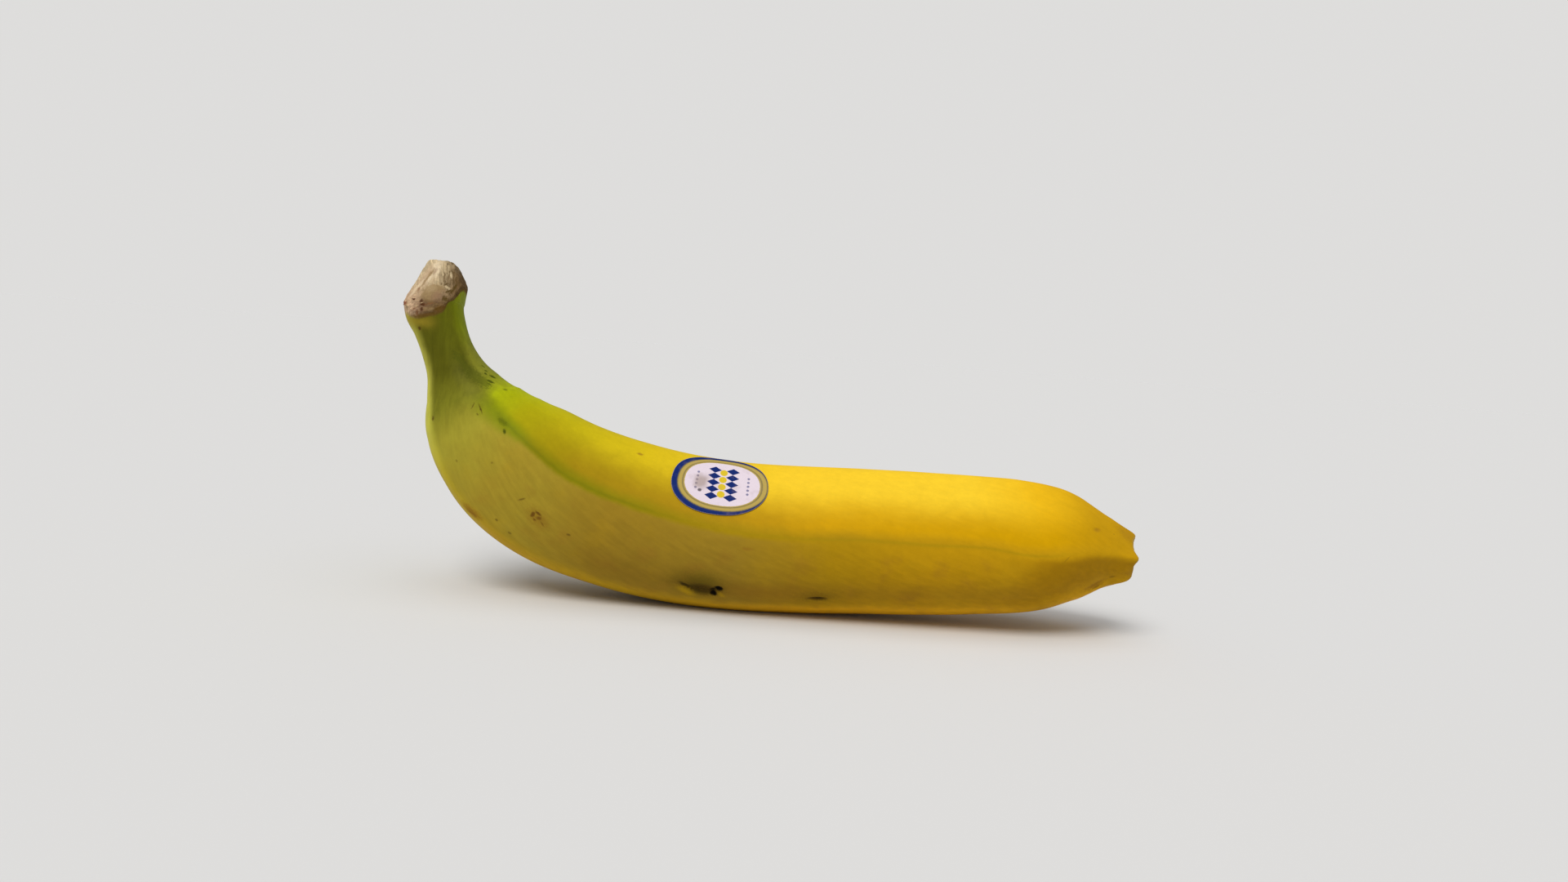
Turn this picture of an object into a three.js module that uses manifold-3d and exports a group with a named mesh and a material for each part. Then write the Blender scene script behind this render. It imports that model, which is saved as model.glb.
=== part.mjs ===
// A single banana, lying on the outer side of its curve as it balances on a table, with an
// oval paper sticker on its peel. Millimetres, +Z up. The stalk rises at the -X end and the
// blossom tip points to +X. The fruit is one grown solid, and the sticker is the second piece.

import * as THREE from "three";
import { mergeVertices } from "three/addons/utils/BufferGeometryUtils.js";
import Module from "manifold-3d";

const wasm = await Module();
wasm.setup();

// ---- Driving dimensions: the fruit ---------------------------------------------------------

// Stations from the stalk's top to the blossom tip, drawn with the fruit's long underside level.
// x, z: the middle of the section. y: how far it bows away from the front side (-Y).
// high, wide: half the section's size, in the plane of the curve and across it.
// lean: degrees by which the two side ridges rise above the section's middle.
// crisp: how sharp the five ridges are. lift: how far they stand out, as a share of the radius.
const STATIONS = [
  { x: -82.5, z: 90.0, y: 3.8, high: 7.2, wide: 8.8, lean: 40, crisp: 3.0, lift: 0 },
  { x: -83.8, z: 83.5, y: 3.5, high: 7.2, wide: 8.3, lean: 40, crisp: 3.0, lift: 0 },
  { x: -84.6, z: 77.5, y: 3.0, high: 7.1, wide: 7.5, lean: 40, crisp: 3.0, lift: 0 },
  { x: -83.0, z: 72.0, y: 2.4, high: 6.1, wide: 6.4, lean: 42, crisp: 3.1, lift: 0 },
  { x: -81.2, z: 66.6, y: 1.9, high: 6.0, wide: 6.0, lean: 36, crisp: 3.2, lift: 0 },
  { x: -79.3, z: 61.7, y: 1.6, high: 6.9, wide: 6.7, lean: 32, crisp: 3.4, lift: 0 },
  { x: -77.3, z: 56.8, y: 1.3, high: 9.3, wide: 8.6, lean: 30, crisp: 3.6, lift: 0 },
  { x: -74.3, z: 50.4, y: 1.0, high: 12.9, wide: 11.7, lean: 30, crisp: 4.0, lift: 0.005 },
  { x: -69.6, z: 43.8, y: 0.7, high: 15.6, wide: 14.1, lean: 30, crisp: 4.4, lift: 0.008 },
  { x: -62.2, z: 37.0, y: 0.4, high: 17.9, wide: 16.2, lean: 27, crisp: 4.6, lift: 0.01 },
  { x: -51.4, z: 30.4, y: 0.0, high: 18.9, wide: 17.2, lean: 21, crisp: 4.6, lift: 0.01 },
  { x: -38.2, z: 25.6, y: -0.2, high: 19.0, wide: 17.6, lean: 17, crisp: 4.6, lift: 0.01 },
  { x: -24.1, z: 22.0, y: -0.3, high: 18.9, wide: 17.6, lean: 14, crisp: 4.5, lift: 0.008 },
  { x: -9.1, z: 19.85, y: -0.3, high: 18.75, wide: 17.7, lean: 10, crisp: 4.4, lift: 0.008 },
  { x: 6.5, z: 18.85, y: -0.2, high: 18.55, wide: 17.6, lean: 8, crisp: 4.3, lift: 0.008 },
  { x: 22.2, z: 18.35, y: 0.0, high: 18.35, wide: 17.4, lean: 8, crisp: 4.2, lift: 0.008 },
  { x: 37.6, z: 17.8, y: 0.1, high: 18.1, wide: 17.1, lean: 6, crisp: 4.2, lift: 0.008 },
  { x: 51.6, z: 17.35, y: 0.1, high: 17.55, wide: 16.5, lean: 5, crisp: 4.2, lift: 0.01 },
  { x: 62.8, z: 16.9, y: 0.1, high: 16.8, wide: 15.7, lean: 0, crisp: 4.3, lift: 0.02 },
  { x: 71.4, z: 16.6, y: 0.0, high: 15.3, wide: 14.1, lean: 1, crisp: 4.5, lift: 0.035 },
  { x: 78.2, z: 15.9, y: -0.1, high: 12.6, wide: 11.6, lean: 6, crisp: 4.6, lift: 0.05 },
  { x: 83.5, z: 15.3, y: -0.3, high: 9.6, wide: 9.0, lean: 8, crisp: 4.6, lift: 0.06 },
  { x: 87.6, z: 14.6, y: -0.5, high: 7.5, wide: 7.1, lean: 9, crisp: 4.6, lift: 0.06 },
  { x: 90.3, z: 14.1, y: -0.6, high: 5.9, wide: 5.7, lean: 9, crisp: 4.2, lift: 0.05 },
];
const LAST = STATIONS.length - 1;

const REST_TILT = 4.5; // degrees that the fruit rocks back from the drawing to where it balances
const PRESSED = 0.7; // how far its own weight flattens the soft belly
const LOW_RIDGE = -50; // degrees, where the lower ridge on the front side runs
const KEEL = -90; // degrees, the rounded middle of the belly, which bulges but has no ridge
const RIDGE_SPREAD = 9; // degrees over which a ridge's lift fades out
const LIP_REACH = 1.1; // how far each ridge runs on past the tip's rim
const LIP_SPREAD = 16; // degrees
const LIP_FROM = 1.5; // stations before the rim at which the lips begin
const LIP_EDGE = 4; // how closely the lips keep to the rim, as a power of the share of the radius

// The blossom scar in the tip, from the rim to its dried middle: share of the radius, and
// how deep it lies, in stations.
const SCAR_PROFILE = [
  [0.84, 0.04],
  [0.64, 0.3],
  [0.34, 0.32],
  [0.24, 0.08],
  [0, 0.04],
];

// Knife cuts that take the stalk off its bunch: a point on each face and its outward direction,
// in the drawing. The first face is the big slanted one at the front.
const STALK_CUTS = [
  { point: [-84.3, 3.0, 83.8], outward: [-0.1, -0.73, 0.67] },
  { point: [-90.4, 4.0, 81.8], outward: [-0.8, -0.3, 0.52] },
  { point: [-82.4, 9.0, 88.9], outward: [0.16, 0.15, 0.97] },
  { point: [-78.8, 6.0, 85.3], outward: [0.88, 0.1, 0.47] },
];

const STALK_CUT_SIZE = 40; // wider than the stalk, and clear of the fruit's body
const FLOOR_CUT_SIZE = 400; // wider than the whole fruit

const AROUND = 48; // faces around the fruit
const ROWS_PER_STATION = 3;

// ---- Driving dimensions: the sticker ---------------------------------------------------------

const STICKER_STATION = 12.7;
const STICKER_ANGLE = 55; // degrees up from the fruit's side, on the upper face
const STICKER_LONG = 12.6; // half its length along the fruit
const STICKER_ACROSS = 9; // half its width around the fruit
const STICKER_GAP = 0.15; // the glue's clearance above the peel
const STICKER_THICK = 0.2;
const STICKER_AROUND = 40;
const STICKER_RINGS = 5;

// ---- Finishes ---------------------------------------------------------------------------------

const PEEL = new THREE.MeshStandardMaterial({ color: 0xd9ab14, roughness: 0.5, metalness: 0 });
const PAPER = new THREE.MeshStandardMaterial({ color: 0xe4dfe6, roughness: 0.45, metalness: 0 });

// ---- The fruit's shape law ----------------------------------------------------------------------

const FRONT = new THREE.Vector3(0, -1, 0);
const UP = new THREE.Vector3(0, 0, 1);
const SHORT_WAY = 0.01; // stations, to find which way the fruit runs
const BOX_STEP = 3; // degrees between the points that a section's box is taken from
const toRadians = THREE.MathUtils.degToRad;

/** One measure of the stations at a fractional station number, run smoothly through them all. */
function along(name, station) {
  const from = THREE.MathUtils.clamp(Math.floor(station), 0, LAST - 1);
  const t = station - from;
  const here = STATIONS[from][name];
  const next = STATIONS[from + 1][name];
  const before = from > 0 ? STATIONS[from - 1][name] : 2 * here - next;
  const after = from + 1 < LAST ? STATIONS[from + 2][name] : 2 * next - here;
  const bend = 2 * before - 5 * here + 4 * next - after;
  const twist = 3 * here - before - 3 * next + after;
  return here + 0.5 * t * (next - before + t * (bend + t * twist));
}

/** The middle of the section at a station. */
function middle(station) {
  return new THREE.Vector3(along("x", station), along("y", station), along("z", station));
}

/** Which way the fruit runs at a station, and the section's directions: up, and across to -Y. */
function directions(station) {
  const run = middle(station + SHORT_WAY).sub(middle(station - SHORT_WAY)).normalize();
  const up = FRONT.clone().cross(run).normalize();
  const across = run.clone().cross(up);
  return { run, up, across };
}

/** The section's corners at a station, in degrees, from the upper ridge round by the front. */
function cornerAngles(station) {
  const lean = along("lean", station);
  return [90, lean, LOW_RIDGE, KEEL, -180 - LOW_RIDGE, -180 - lean, -270];
}

/** How strongly an angle belongs to a ridge: 1 on any ridge, fading to 0 within the spread. */
function onRidge(station, angle, spread) {
  const ridges = cornerAngles(station).slice(1).filter((corner) => corner !== KEEL);
  return ridges.reduce((sum, ridge) => {
    const away = THREE.MathUtils.euclideanModulo(angle - ridge + 180, 360) - 180;
    return sum + Math.exp(-((away / spread) ** 2));
  }, 0);
}

/** The radius of a section of unit size: flat faces between the corners, all rounded over. */
function sectionRadius(station, angle) {
  const corners = cornerAngles(station);
  const crisp = along("crisp", station);
  let sum = 0;
  for (let face = 0; face + 1 < corners.length; face += 1) {
    const facing = (corners[face] + corners[face + 1]) / 2;
    const half = (corners[face] - corners[face + 1]) / 2;
    const reach = Math.cos(toRadians(angle - facing)) / Math.cos(toRadians(half));
    sum += Math.max(reach, 0) ** crisp;
  }
  return sum ** (-1 / crisp) * (1 + along("lift", station) * onRidge(station, angle, RIDGE_SPREAD));
}

/** The section's lowest and highest reach each way, so that a station's sizes hold exactly. */
function sectionBox(station) {
  const box = new THREE.Box2();
  for (let angle = 0; angle < 360; angle += BOX_STEP) {
    const radius = sectionRadius(station, angle);
    const turn = toRadians(angle);
    box.expandByPoint(new THREE.Vector2(radius * Math.cos(turn), radius * Math.sin(turn)));
  }
  return box;
}

const knownBoxes = new Map();

/** The section's box, worked out once for each station number. */
function sectionBoxAt(station) {
  if (!knownBoxes.has(station)) knownBoxes.set(station, sectionBox(station));
  return knownBoxes.get(station);
}

/** A point of the drawn fruit: station, angle in degrees, and share of the radius. */
function fruitPoint(station, angle, share) {
  const { run, up, across } = directions(station);
  const box = sectionBoxAt(station);
  const size = box.getSize(new THREE.Vector2());
  const radius = sectionRadius(station, angle);
  const turn = toRadians(angle);
  const section = new THREE.Vector2(radius * Math.cos(turn), radius * Math.sin(turn));
  section.sub(box.getCenter(new THREE.Vector2())).divide(size).multiplyScalar(2 * share);
  const nearTip = THREE.MathUtils.smoothstep(station, LAST - LIP_FROM, LAST);
  const lip = LIP_REACH * nearTip * share ** LIP_EDGE * onRidge(station, angle, LIP_SPREAD);
  return middle(station)
    .addScaledVector(across, section.x * along("wide", station))
    .addScaledVector(up, section.y * along("high", station))
    .addScaledVector(run, lip);
}

// ---- Meshes and solids --------------------------------------------------------------------------

/** Moves each vertex of a lathed rod or disc: place takes its height, angle and radius. */
function reshape(geometry, place) {
  const position = geometry.getAttribute("position");
  for (let i = 0; i < position.count; i += 1) {
    const x = position.getX(i);
    const z = position.getZ(i);
    const angle = THREE.MathUtils.radToDeg(Math.atan2(z, x));
    const point = place(position.getY(i), angle, Math.hypot(x, z));
    position.setXYZ(i, point.x, point.y, point.z);
  }
  return geometry;
}

/** A closed geometry as a solid that can be cut. */
function toSolid(geometry) {
  const bare = geometry.clone().deleteAttribute("normal").deleteAttribute("uv");
  const merged = mergeVertices(bare, 1e-4);
  const vertProperties = new Float32Array(merged.getAttribute("position").array);
  const triVerts = new Uint32Array(merged.getIndex().array);
  return new wasm.Manifold(new wasm.Mesh({ numProp: 3, vertProperties, triVerts }));
}

/** A cut solid as a geometry again. */
function toGeometry(solid) {
  const { vertProperties, triVerts } = solid.getMesh();
  const geometry = new THREE.BufferGeometry();
  geometry.setAttribute("position", new THREE.BufferAttribute(vertProperties, 3));
  geometry.setIndex(new THREE.BufferAttribute(triVerts, 1));
  geometry.computeVertexNormals();
  return geometry;
}

/** Takes away what a cube holds that stands with the middle of one face on a point. */
function cutAway(solid, point, outward, size) {
  const block = new THREE.BoxGeometry(size, size, size);
  block.translate(0, 0, size / 2);
  block.applyQuaternion(new THREE.Quaternion().setFromUnitVectors(UP, outward));
  block.translate(point.x, point.y, point.z);
  return solid.subtract(toSolid(block));
}

/** Rocks a drawn geometry back to how the fruit rests. */
function rockBack(geometry) {
  return geometry.rotateY(-toRadians(REST_TILT));
}

/** The fruit: a rod of unit radius, one unit of height a station, laid along the stations. */
function makeFruit() {
  const profile = [new THREE.Vector2(0, 0)];
  for (let row = 0; row <= LAST * ROWS_PER_STATION; row += 1) {
    profile.push(new THREE.Vector2(1, row / ROWS_PER_STATION));
  }
  for (const [share, deep] of SCAR_PROFILE) {
    profile.push(new THREE.Vector2(share, LAST - deep));
  }
  let solid = toSolid(reshape(new THREE.LatheGeometry(profile, AROUND), fruitPoint));
  for (const { point, outward } of STALK_CUTS) {
    const direction = new THREE.Vector3(...outward).normalize();
    solid = cutAway(solid, new THREE.Vector3(...point), direction, STALK_CUT_SIZE);
  }
  const rested = rockBack(toGeometry(solid));
  rested.computeBoundingBox();
  const floor = new THREE.Vector3(0, 0, rested.boundingBox.min.z + PRESSED);
  return toGeometry(cutAway(toSolid(rested), floor, UP.clone().negate(), FLOOR_CUT_SIZE));
}

/** How far one station reaches along the fruit at the sticker, and one degree around it. */
function peelScale() {
  const here = middle(STICKER_STATION);
  const perStation = middle(STICKER_STATION + SHORT_WAY).distanceTo(here) / SHORT_WAY;
  const centre = fruitPoint(STICKER_STATION, STICKER_ANGLE, 1);
  const perDegree = fruitPoint(STICKER_STATION, STICKER_ANGLE + 1, 1).distanceTo(centre);
  return { perStation, perDegree };
}

const { perStation, perDegree } = peelScale();

/** A point of the sticker: height through the paper, angle around it, share of its radius. */
function stickerPoint(height, angle, share) {
  const turn = toRadians(angle);
  const station = STICKER_STATION + (Math.cos(turn) * share * STICKER_LONG) / perStation;
  const around = STICKER_ANGLE + (Math.sin(turn) * share * STICKER_ACROSS) / perDegree;
  const on = fruitPoint(station, around, 1);
  const ahead = fruitPoint(station + SHORT_WAY, around, 1).sub(on);
  const beside = fruitPoint(station, around + 1, 1).sub(on);
  const outward = ahead.cross(beside).normalize();
  return on.addScaledVector(outward, STICKER_GAP + height);
}

/** The sticker: a thin lathed disc laid on the peel. */
function makeSticker() {
  const profile = [];
  for (let ring = 0; ring <= STICKER_RINGS; ring += 1) {
    profile.push(new THREE.Vector2(ring / STICKER_RINGS, STICKER_THICK));
  }
  for (let ring = STICKER_RINGS; ring >= 0; ring -= 1) {
    profile.push(new THREE.Vector2(ring / STICKER_RINGS, 0));
  }
  return rockBack(reshape(new THREE.LatheGeometry(profile, STICKER_AROUND), stickerPoint));
}

/** A named mesh of one piece. */
function piece(name, geometry, material) {
  const mesh = new THREE.Mesh(geometry, material);
  mesh.name = name;
  return mesh;
}

// ---- Assembly: the middle of the fruit's underside comes to the origin -------------------------

const bananaWithSticker = new THREE.Group();
bananaWithSticker.add(piece("banana", makeFruit(), PEEL), piece("sticker", makeSticker(), PAPER));

const extent = new THREE.Box3().setFromObject(bananaWithSticker);
const centre = extent.getCenter(new THREE.Vector3());
for (const mesh of bananaWithSticker.children) {
  mesh.position.set(-centre.x, -centre.y, -extent.min.z);
}

export default bananaWithSticker;
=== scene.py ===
"""A single banana lying on the outer side of its curve, with an oval paper sticker on its peel.

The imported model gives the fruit's place and size. The fruit's fine skin is grown here from the
same stations, gets its relief from a Geometry Nodes tree, and the sticker is laid on it by another.
"""

import logging
import math
from dataclasses import dataclass
from enum import Enum
from functools import cached_property
from typing import Any, Callable, Sequence, Union

import bpy
import numpy as np
from mathutils import Matrix, Vector


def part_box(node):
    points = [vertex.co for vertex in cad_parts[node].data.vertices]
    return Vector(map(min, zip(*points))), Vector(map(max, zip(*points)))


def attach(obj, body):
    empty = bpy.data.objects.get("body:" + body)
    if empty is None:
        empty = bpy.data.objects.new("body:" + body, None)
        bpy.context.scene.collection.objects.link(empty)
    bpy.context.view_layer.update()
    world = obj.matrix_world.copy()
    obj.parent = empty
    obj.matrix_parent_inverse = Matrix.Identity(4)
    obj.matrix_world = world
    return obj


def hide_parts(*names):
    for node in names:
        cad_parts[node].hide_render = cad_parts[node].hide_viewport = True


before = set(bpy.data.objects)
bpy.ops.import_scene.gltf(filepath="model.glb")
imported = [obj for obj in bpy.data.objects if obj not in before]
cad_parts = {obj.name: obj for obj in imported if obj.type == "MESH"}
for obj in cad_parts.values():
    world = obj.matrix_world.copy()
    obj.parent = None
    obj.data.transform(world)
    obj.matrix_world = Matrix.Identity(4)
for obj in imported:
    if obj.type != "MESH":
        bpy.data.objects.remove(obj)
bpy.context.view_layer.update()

log = logging.getLogger("banana")

MM = 0.001  # metres in a millimetre

Array = np.ndarray
Piece = bpy.types.Object
Tree = bpy.types.NodeTree
Pair = tuple[float, float]
Triple = tuple[float, float, float]
Colour = tuple[float, float, float, float]
Value = Union["Wire", float, int, Sequence[float]]
Fade = Pair  # where a fade is 0, and where it is 1
Stretch = tuple[float, float, float, float]  # where it begins, is full, starts to fade and ends


# ---- Writing node trees as formulas ----


def rgb(code: str) -> Colour:
    """Turns six hexadecimal digits, two each for red, green and blue, into scene-linear light."""
    parts = [int(code[i : i + 2], 16) / 255 for i in (0, 2, 4)]
    linear = [p / 12.92 if p <= 0.04045 else ((p + 0.055) / 1.055) ** 2.4 for p in parts]
    return (linear[0], linear[1], linear[2], 1.0)


def arithmetic(operation: str, from_right: bool = False) -> Callable[["Wire", Value], "Wire"]:
    """Makes the method behind one of a wire's signs, such as + or *.

    Args:
        operation: the Math node's operation.
        from_right: whether the wire stands right of the sign.

    Returns:
        The method.
    """

    def method(wire: "Wire", other: Value) -> "Wire":
        """Works it out."""
        return wire.board.math(operation, *((other, wire) if from_right else (wire, other)))

    return method


class Wire:
    """One output of a node, which formulas can be written with."""

    __add__, __radd__ = arithmetic("ADD"), arithmetic("ADD", from_right=True)
    __sub__, __rsub__ = arithmetic("SUBTRACT"), arithmetic("SUBTRACT", from_right=True)
    __mul__, __rmul__ = arithmetic("MULTIPLY"), arithmetic("MULTIPLY", from_right=True)
    __truediv__ = arithmetic("DIVIDE")

    def __init__(self, board: "Board", socket: bpy.types.NodeSocket) -> None:
        """Holds a socket and the board that it is on."""
        self.board, self.socket = board, socket


class Board:
    """A node tree that is written through calls."""

    group_kind: str  # Blender's names for the node that holds a group, and for the tree
    tree_kind: str

    def __init__(self, tree: Tree) -> None:
        """Starts on a tree."""
        self.tree = tree

    def plug(self, socket: bpy.types.NodeSocket, value: Value) -> None:
        """Fills a node's input.

        Args:
            socket: the input.
            value: a wire to link to it, or what the input is set to.
        """
        if isinstance(value, Wire):
            self.tree.links.new(value.socket, socket)
        else:
            socket.default_value = value

    def place(self, kind: str, inputs: dict[Any, Any], **settings: Any) -> bpy.types.Node:
        """Places one node.

        Args:
            kind: Blender's name for the node's type.
            inputs: what goes into it, by the sockets' names or numbers.
            settings: properties of the node and their values.

        Returns:
            The node.
        """
        node = self.tree.nodes.new(kind)
        for name, value in settings.items():
            setattr(node, name, value)
        for socket, value in inputs.items():
            self.plug(node.inputs[socket], value)
        return node

    def read(self, kind: str, inputs: dict[Any, Any], output: Any = 0, **settings: Any) -> Wire:
        """Places one node as place does, and gives the output of that name or number."""
        return Wire(self, self.place(kind, inputs, **settings).outputs[output])

    def math(self, operation: str, *values: Value, clamp: bool = False) -> Wire:
        """Works out one step of arithmetic, kept between 0 and 1 if clamp is set."""
        return self.read("ShaderNodeMath", dict(enumerate(values)), operation=operation, use_clamp=clamp)

    def vectors(self, operation: str, *values: Value, output: str = "Vector") -> Wire:
        """Works out one step with vectors, and gives the output of that name."""
        return self.read("ShaderNodeVectorMath", dict(enumerate(values)), output, operation=operation)

    def dot(self, first: Value, second: Value) -> Wire:
        """Gives the dot product of two vectors."""
        return self.vectors("DOT_PRODUCT", first, second, output="Value")

    def scaled(self, vector: Value, factor: Value) -> Wire:
        """Multiplies a vector by one number."""
        return self.read("ShaderNodeVectorMath", {"Vector": vector, "Scale": factor}, operation="SCALE")

    def join(self, x: Value, y: Value, z: Value) -> Wire:
        """Makes a vector of three numbers."""
        return self.read("ShaderNodeCombineXYZ", {0: x, 1: y, 2: z})

    def split(self, vector: Value) -> list[Wire]:
        """Gives the three numbers of a vector."""
        return [Wire(self, number) for number in self.place("ShaderNodeSeparateXYZ", {0: vector}).outputs]

    def smooth(self, value: Value, low: Value, high: Value) -> Wire:
        """Runs smoothly from 0 at low to 1 at high. Low may be above high: the result then falls."""
        ends = {"Value": value, "From Min": low, "From Max": high}
        return self.read("ShaderNodeMapRange", ends, interpolation_type="SMOOTHSTEP")

    def bell(self, value: Value, width: Value) -> Wire:
        """Gives 1 where a value is 0, fading to 0 a few widths away."""
        share = self.math("DIVIDE", value, width)
        return self.math("EXPONENT", share * share * -1.0)

    def noise(self, vector: Value, size: Value, detail: float = 2.0, rough: float = 0.5) -> Wire:
        """Gives soft noise around 0.5.

        Args:
            vector: where the noise is read.
            size: how large its lumps are, in the vector's unit.
            detail: how many finer layers it has.
            rough: how strong the finer layers are.

        Returns:
            The noise, from 0 to 1.
        """
        scale = self.math("DIVIDE", 1.0, size)
        look = {"Vector": vector, "Scale": scale, "Detail": detail, "Roughness": rough}
        return self.read("ShaderNodeTexNoise", look, noise_dimensions="3D")

    def drawn_out(self, vector: Value, long: Value, wide: Value) -> Wire:
        """Gives where to read noise of size 1 for grooves this long along X and this wide."""
        x, y, z = self.split(vector)
        return self.join(x / long, y / wide, z / wide)

    def waver(self, vector: Value, size: Value, detail: float = 3.0, rough: float = 0.6) -> Wire:
        """Gives noise as noise does, but around 0 and rougher."""
        return self.noise(vector, size, detail, rough) - 0.5

    def mix(self, share: Value, under: Value, over: Value, blend: str = "MIX") -> Wire:
        """Lays a share of one colour over another."""
        colours = {0: share, 6: under, 7: over}
        return self.read("ShaderNodeMix", colours, 2, data_type="RGBA", blend_type=blend)

    def shaded(self, colour: Value, shade: Value) -> Wire:
        """Multiplies a colour by one number."""
        return self.mix(1.0, colour, self.join(shade, shade, shade), "MULTIPLY")

    def between(self, share: Value, first: Value, second: Value) -> Wire:
        """Gives a number between two others, by a share from 0 to 1."""
        return self.read("ShaderNodeMix", {0: share, 2: first, 3: second}, data_type="FLOAT")

    def ramp(self, value: Value, stops: Sequence[tuple[float, Colour]]) -> Wire:
        """Turns a value into a colour.

        Args:
            value: from 0 to 1.
            stops: places along the ramp, rising, each with its colour.

        Returns:
            The colour.
        """
        node = self.place("ShaderNodeValToRGB", {0: value})
        bar = node.color_ramp
        bar.elements[0].position, bar.elements[0].color = stops[0]
        bar.elements[1].position, bar.elements[1].color = stops[-1]
        for place, colour in stops[1:-1]:
            bar.elements.new(place).color = colour
        return Wire(self, node.outputs[0])

    def use(self, tree: Tree, **values: Value) -> list[Wire]:
        """Places a node group, with its inputs by their names, and gives its outputs in order."""
        node = self.place(self.group_kind, values, node_tree=tree)
        return [Wire(self, output) for output in node.outputs]


class ShaderBoard(Board):
    """The nodes of a material or of a shader group."""

    group_kind, tree_kind = "ShaderNodeGroup", "ShaderNodeTree"

    def number(self, name: str) -> Wire:
        """Reads a number that the mesh carries."""
        return self.read("ShaderNodeAttribute", {}, "Fac", attribute_name=name)

    def vector(self, name: str) -> Wire:
        """Reads a vector that the mesh carries."""
        return self.read("ShaderNodeAttribute", {}, "Vector", attribute_name=name)


class GeometryBoard(Board):
    """The nodes of a Geometry Nodes tree."""

    group_kind, tree_kind = "GeometryNodeGroup", "GeometryNodeTree"

    def number(self, name: str, kind: str = "FLOAT") -> Wire:
        """Reads a number that the mesh carries."""
        return self.read("GeometryNodeInputNamedAttribute", {"Name": name}, "Attribute", data_type=kind)

    def vector(self, name: str) -> Wire:
        """Reads a vector that the mesh carries."""
        return self.number(name, "FLOAT_VECTOR")


class Kind(Enum):
    """The kinds of socket that a group's inputs and outputs have."""

    NUMBER = "NodeSocketFloat"
    VECTOR = "NodeSocketVector"
    COLOUR = "NodeSocketColor"
    GEOMETRY = "NodeSocketGeometry"
    OBJECT = "NodeSocketObject"
    MATERIAL = "NodeSocketMaterial"


class Group:
    """A node group with named inputs and outputs."""

    def __init__(self, board: type[Board], name: str, ins: dict[Kind, str], outs: dict[Kind, str]) -> None:
        """Starts an empty group.

        Args:
            board: ShaderBoard or GeometryBoard.
            name: the group's name.
            ins: the inputs' names, by their kind, with spaces between them.
            outs: the outputs' names in the same way.
        """
        self.tree = bpy.data.node_groups.new(name, board.tree_kind)
        self.sockets = {}
        for sockets, way in ((ins, "INPUT"), (outs, "OUTPUT")):
            for kind, labels in sockets.items():
                for label in labels.split():
                    socket = self.tree.interface.new_socket(label, in_out=way, socket_type=kind.value)
                    self.sockets[label] = socket
        self.board = board(self.tree)
        self.start = self.board.place("NodeGroupInput", {})
        self.end = self.board.place("NodeGroupOutput", {})

    def take(self, names: str) -> list[Wire]:
        """Gives the wires of the inputs with these names, which have spaces between them."""
        return [Wire(self.board, self.start.outputs[name]) for name in names.split()]

    def give(self, name: str, value: Value) -> None:
        """Sends a value out of the group."""
        self.board.plug(self.end.inputs[name], value)


# ---- The fruit's form ----


@dataclass(frozen=True)
class Station:
    """One section of the fruit, drawn with its long underside level, in millimetres and degrees.

    x, z: the middle of the section. y: how far it bows away from the front side (-Y).
    high, wide: half the section's size, in the plane of the curve and across it.
    lean: how far the two side ridges rise above the section's middle.
    crisp: how sharp the ridges are. lift: how far they stand out, as a share of the radius.
    """

    x: float
    z: float
    y: float
    high: float
    wide: float
    lean: float
    crisp: float
    lift: float


STATIONS = (
    Station(-82.5, 90.0, 3.8, 7.2, 8.8, 40, 3.0, 0),
    Station(-83.8, 83.5, 3.5, 7.2, 8.3, 40, 3.0, 0),
    Station(-84.6, 77.5, 3.0, 7.1, 7.5, 40, 3.0, 0),
    Station(-83.0, 72.0, 2.4, 6.1, 6.4, 42, 3.1, 0),
    Station(-81.2, 66.6, 1.9, 6.0, 6.0, 36, 3.2, 0),
    Station(-79.3, 61.7, 1.6, 6.9, 6.7, 32, 3.4, 0),
    Station(-77.3, 56.8, 1.3, 9.3, 8.6, 30, 3.6, 0),
    Station(-74.3, 50.4, 1.0, 12.9, 11.7, 30, 4.0, 0.005),
    Station(-69.6, 43.8, 0.7, 15.6, 14.1, 30, 4.4, 0.008),
    Station(-62.2, 37.0, 0.4, 17.9, 16.2, 27, 4.6, 0.01),
    Station(-51.4, 30.4, 0.0, 18.9, 17.2, 21, 4.6, 0.01),
    Station(-38.2, 25.6, -0.2, 19.0, 17.6, 17, 4.6, 0.01),
    Station(-24.1, 22.0, -0.3, 18.9, 17.6, 14, 4.5, 0.008),
    Station(-9.1, 19.85, -0.3, 18.75, 17.7, 10, 4.4, 0.008),
    Station(6.5, 18.85, -0.2, 18.55, 17.6, 8, 4.3, 0.008),
    Station(22.2, 18.35, 0.0, 18.35, 17.4, 8, 4.2, 0.008),
    Station(37.6, 17.8, 0.1, 18.1, 17.1, 6, 4.2, 0.008),
    Station(51.6, 17.35, 0.1, 17.55, 16.5, 5, 4.2, 0.01),
    Station(62.8, 16.9, 0.1, 16.8, 15.7, 0, 4.3, 0.02),
    Station(71.4, 16.6, 0.0, 15.3, 14.1, 1, 4.5, 0.035),
    Station(78.2, 15.9, -0.1, 12.6, 11.6, 6, 4.6, 0.05),
    Station(83.5, 15.3, -0.3, 9.6, 9.0, 8, 4.6, 0.06),
    Station(87.6, 14.6, -0.5, 7.5, 7.1, 9, 4.6, 0.06),
    Station(90.3, 14.1, -0.6, 5.9, 5.7, 9, 4.2, 0.05),
)
LAST = len(STATIONS) - 1


def turned(angle: Array, start: Union[Array, float]) -> Array:
    """Gives how far an angle has turned from another, from -180 to 180 degrees."""
    return (angle - start + 180) % 360 - 180


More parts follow.
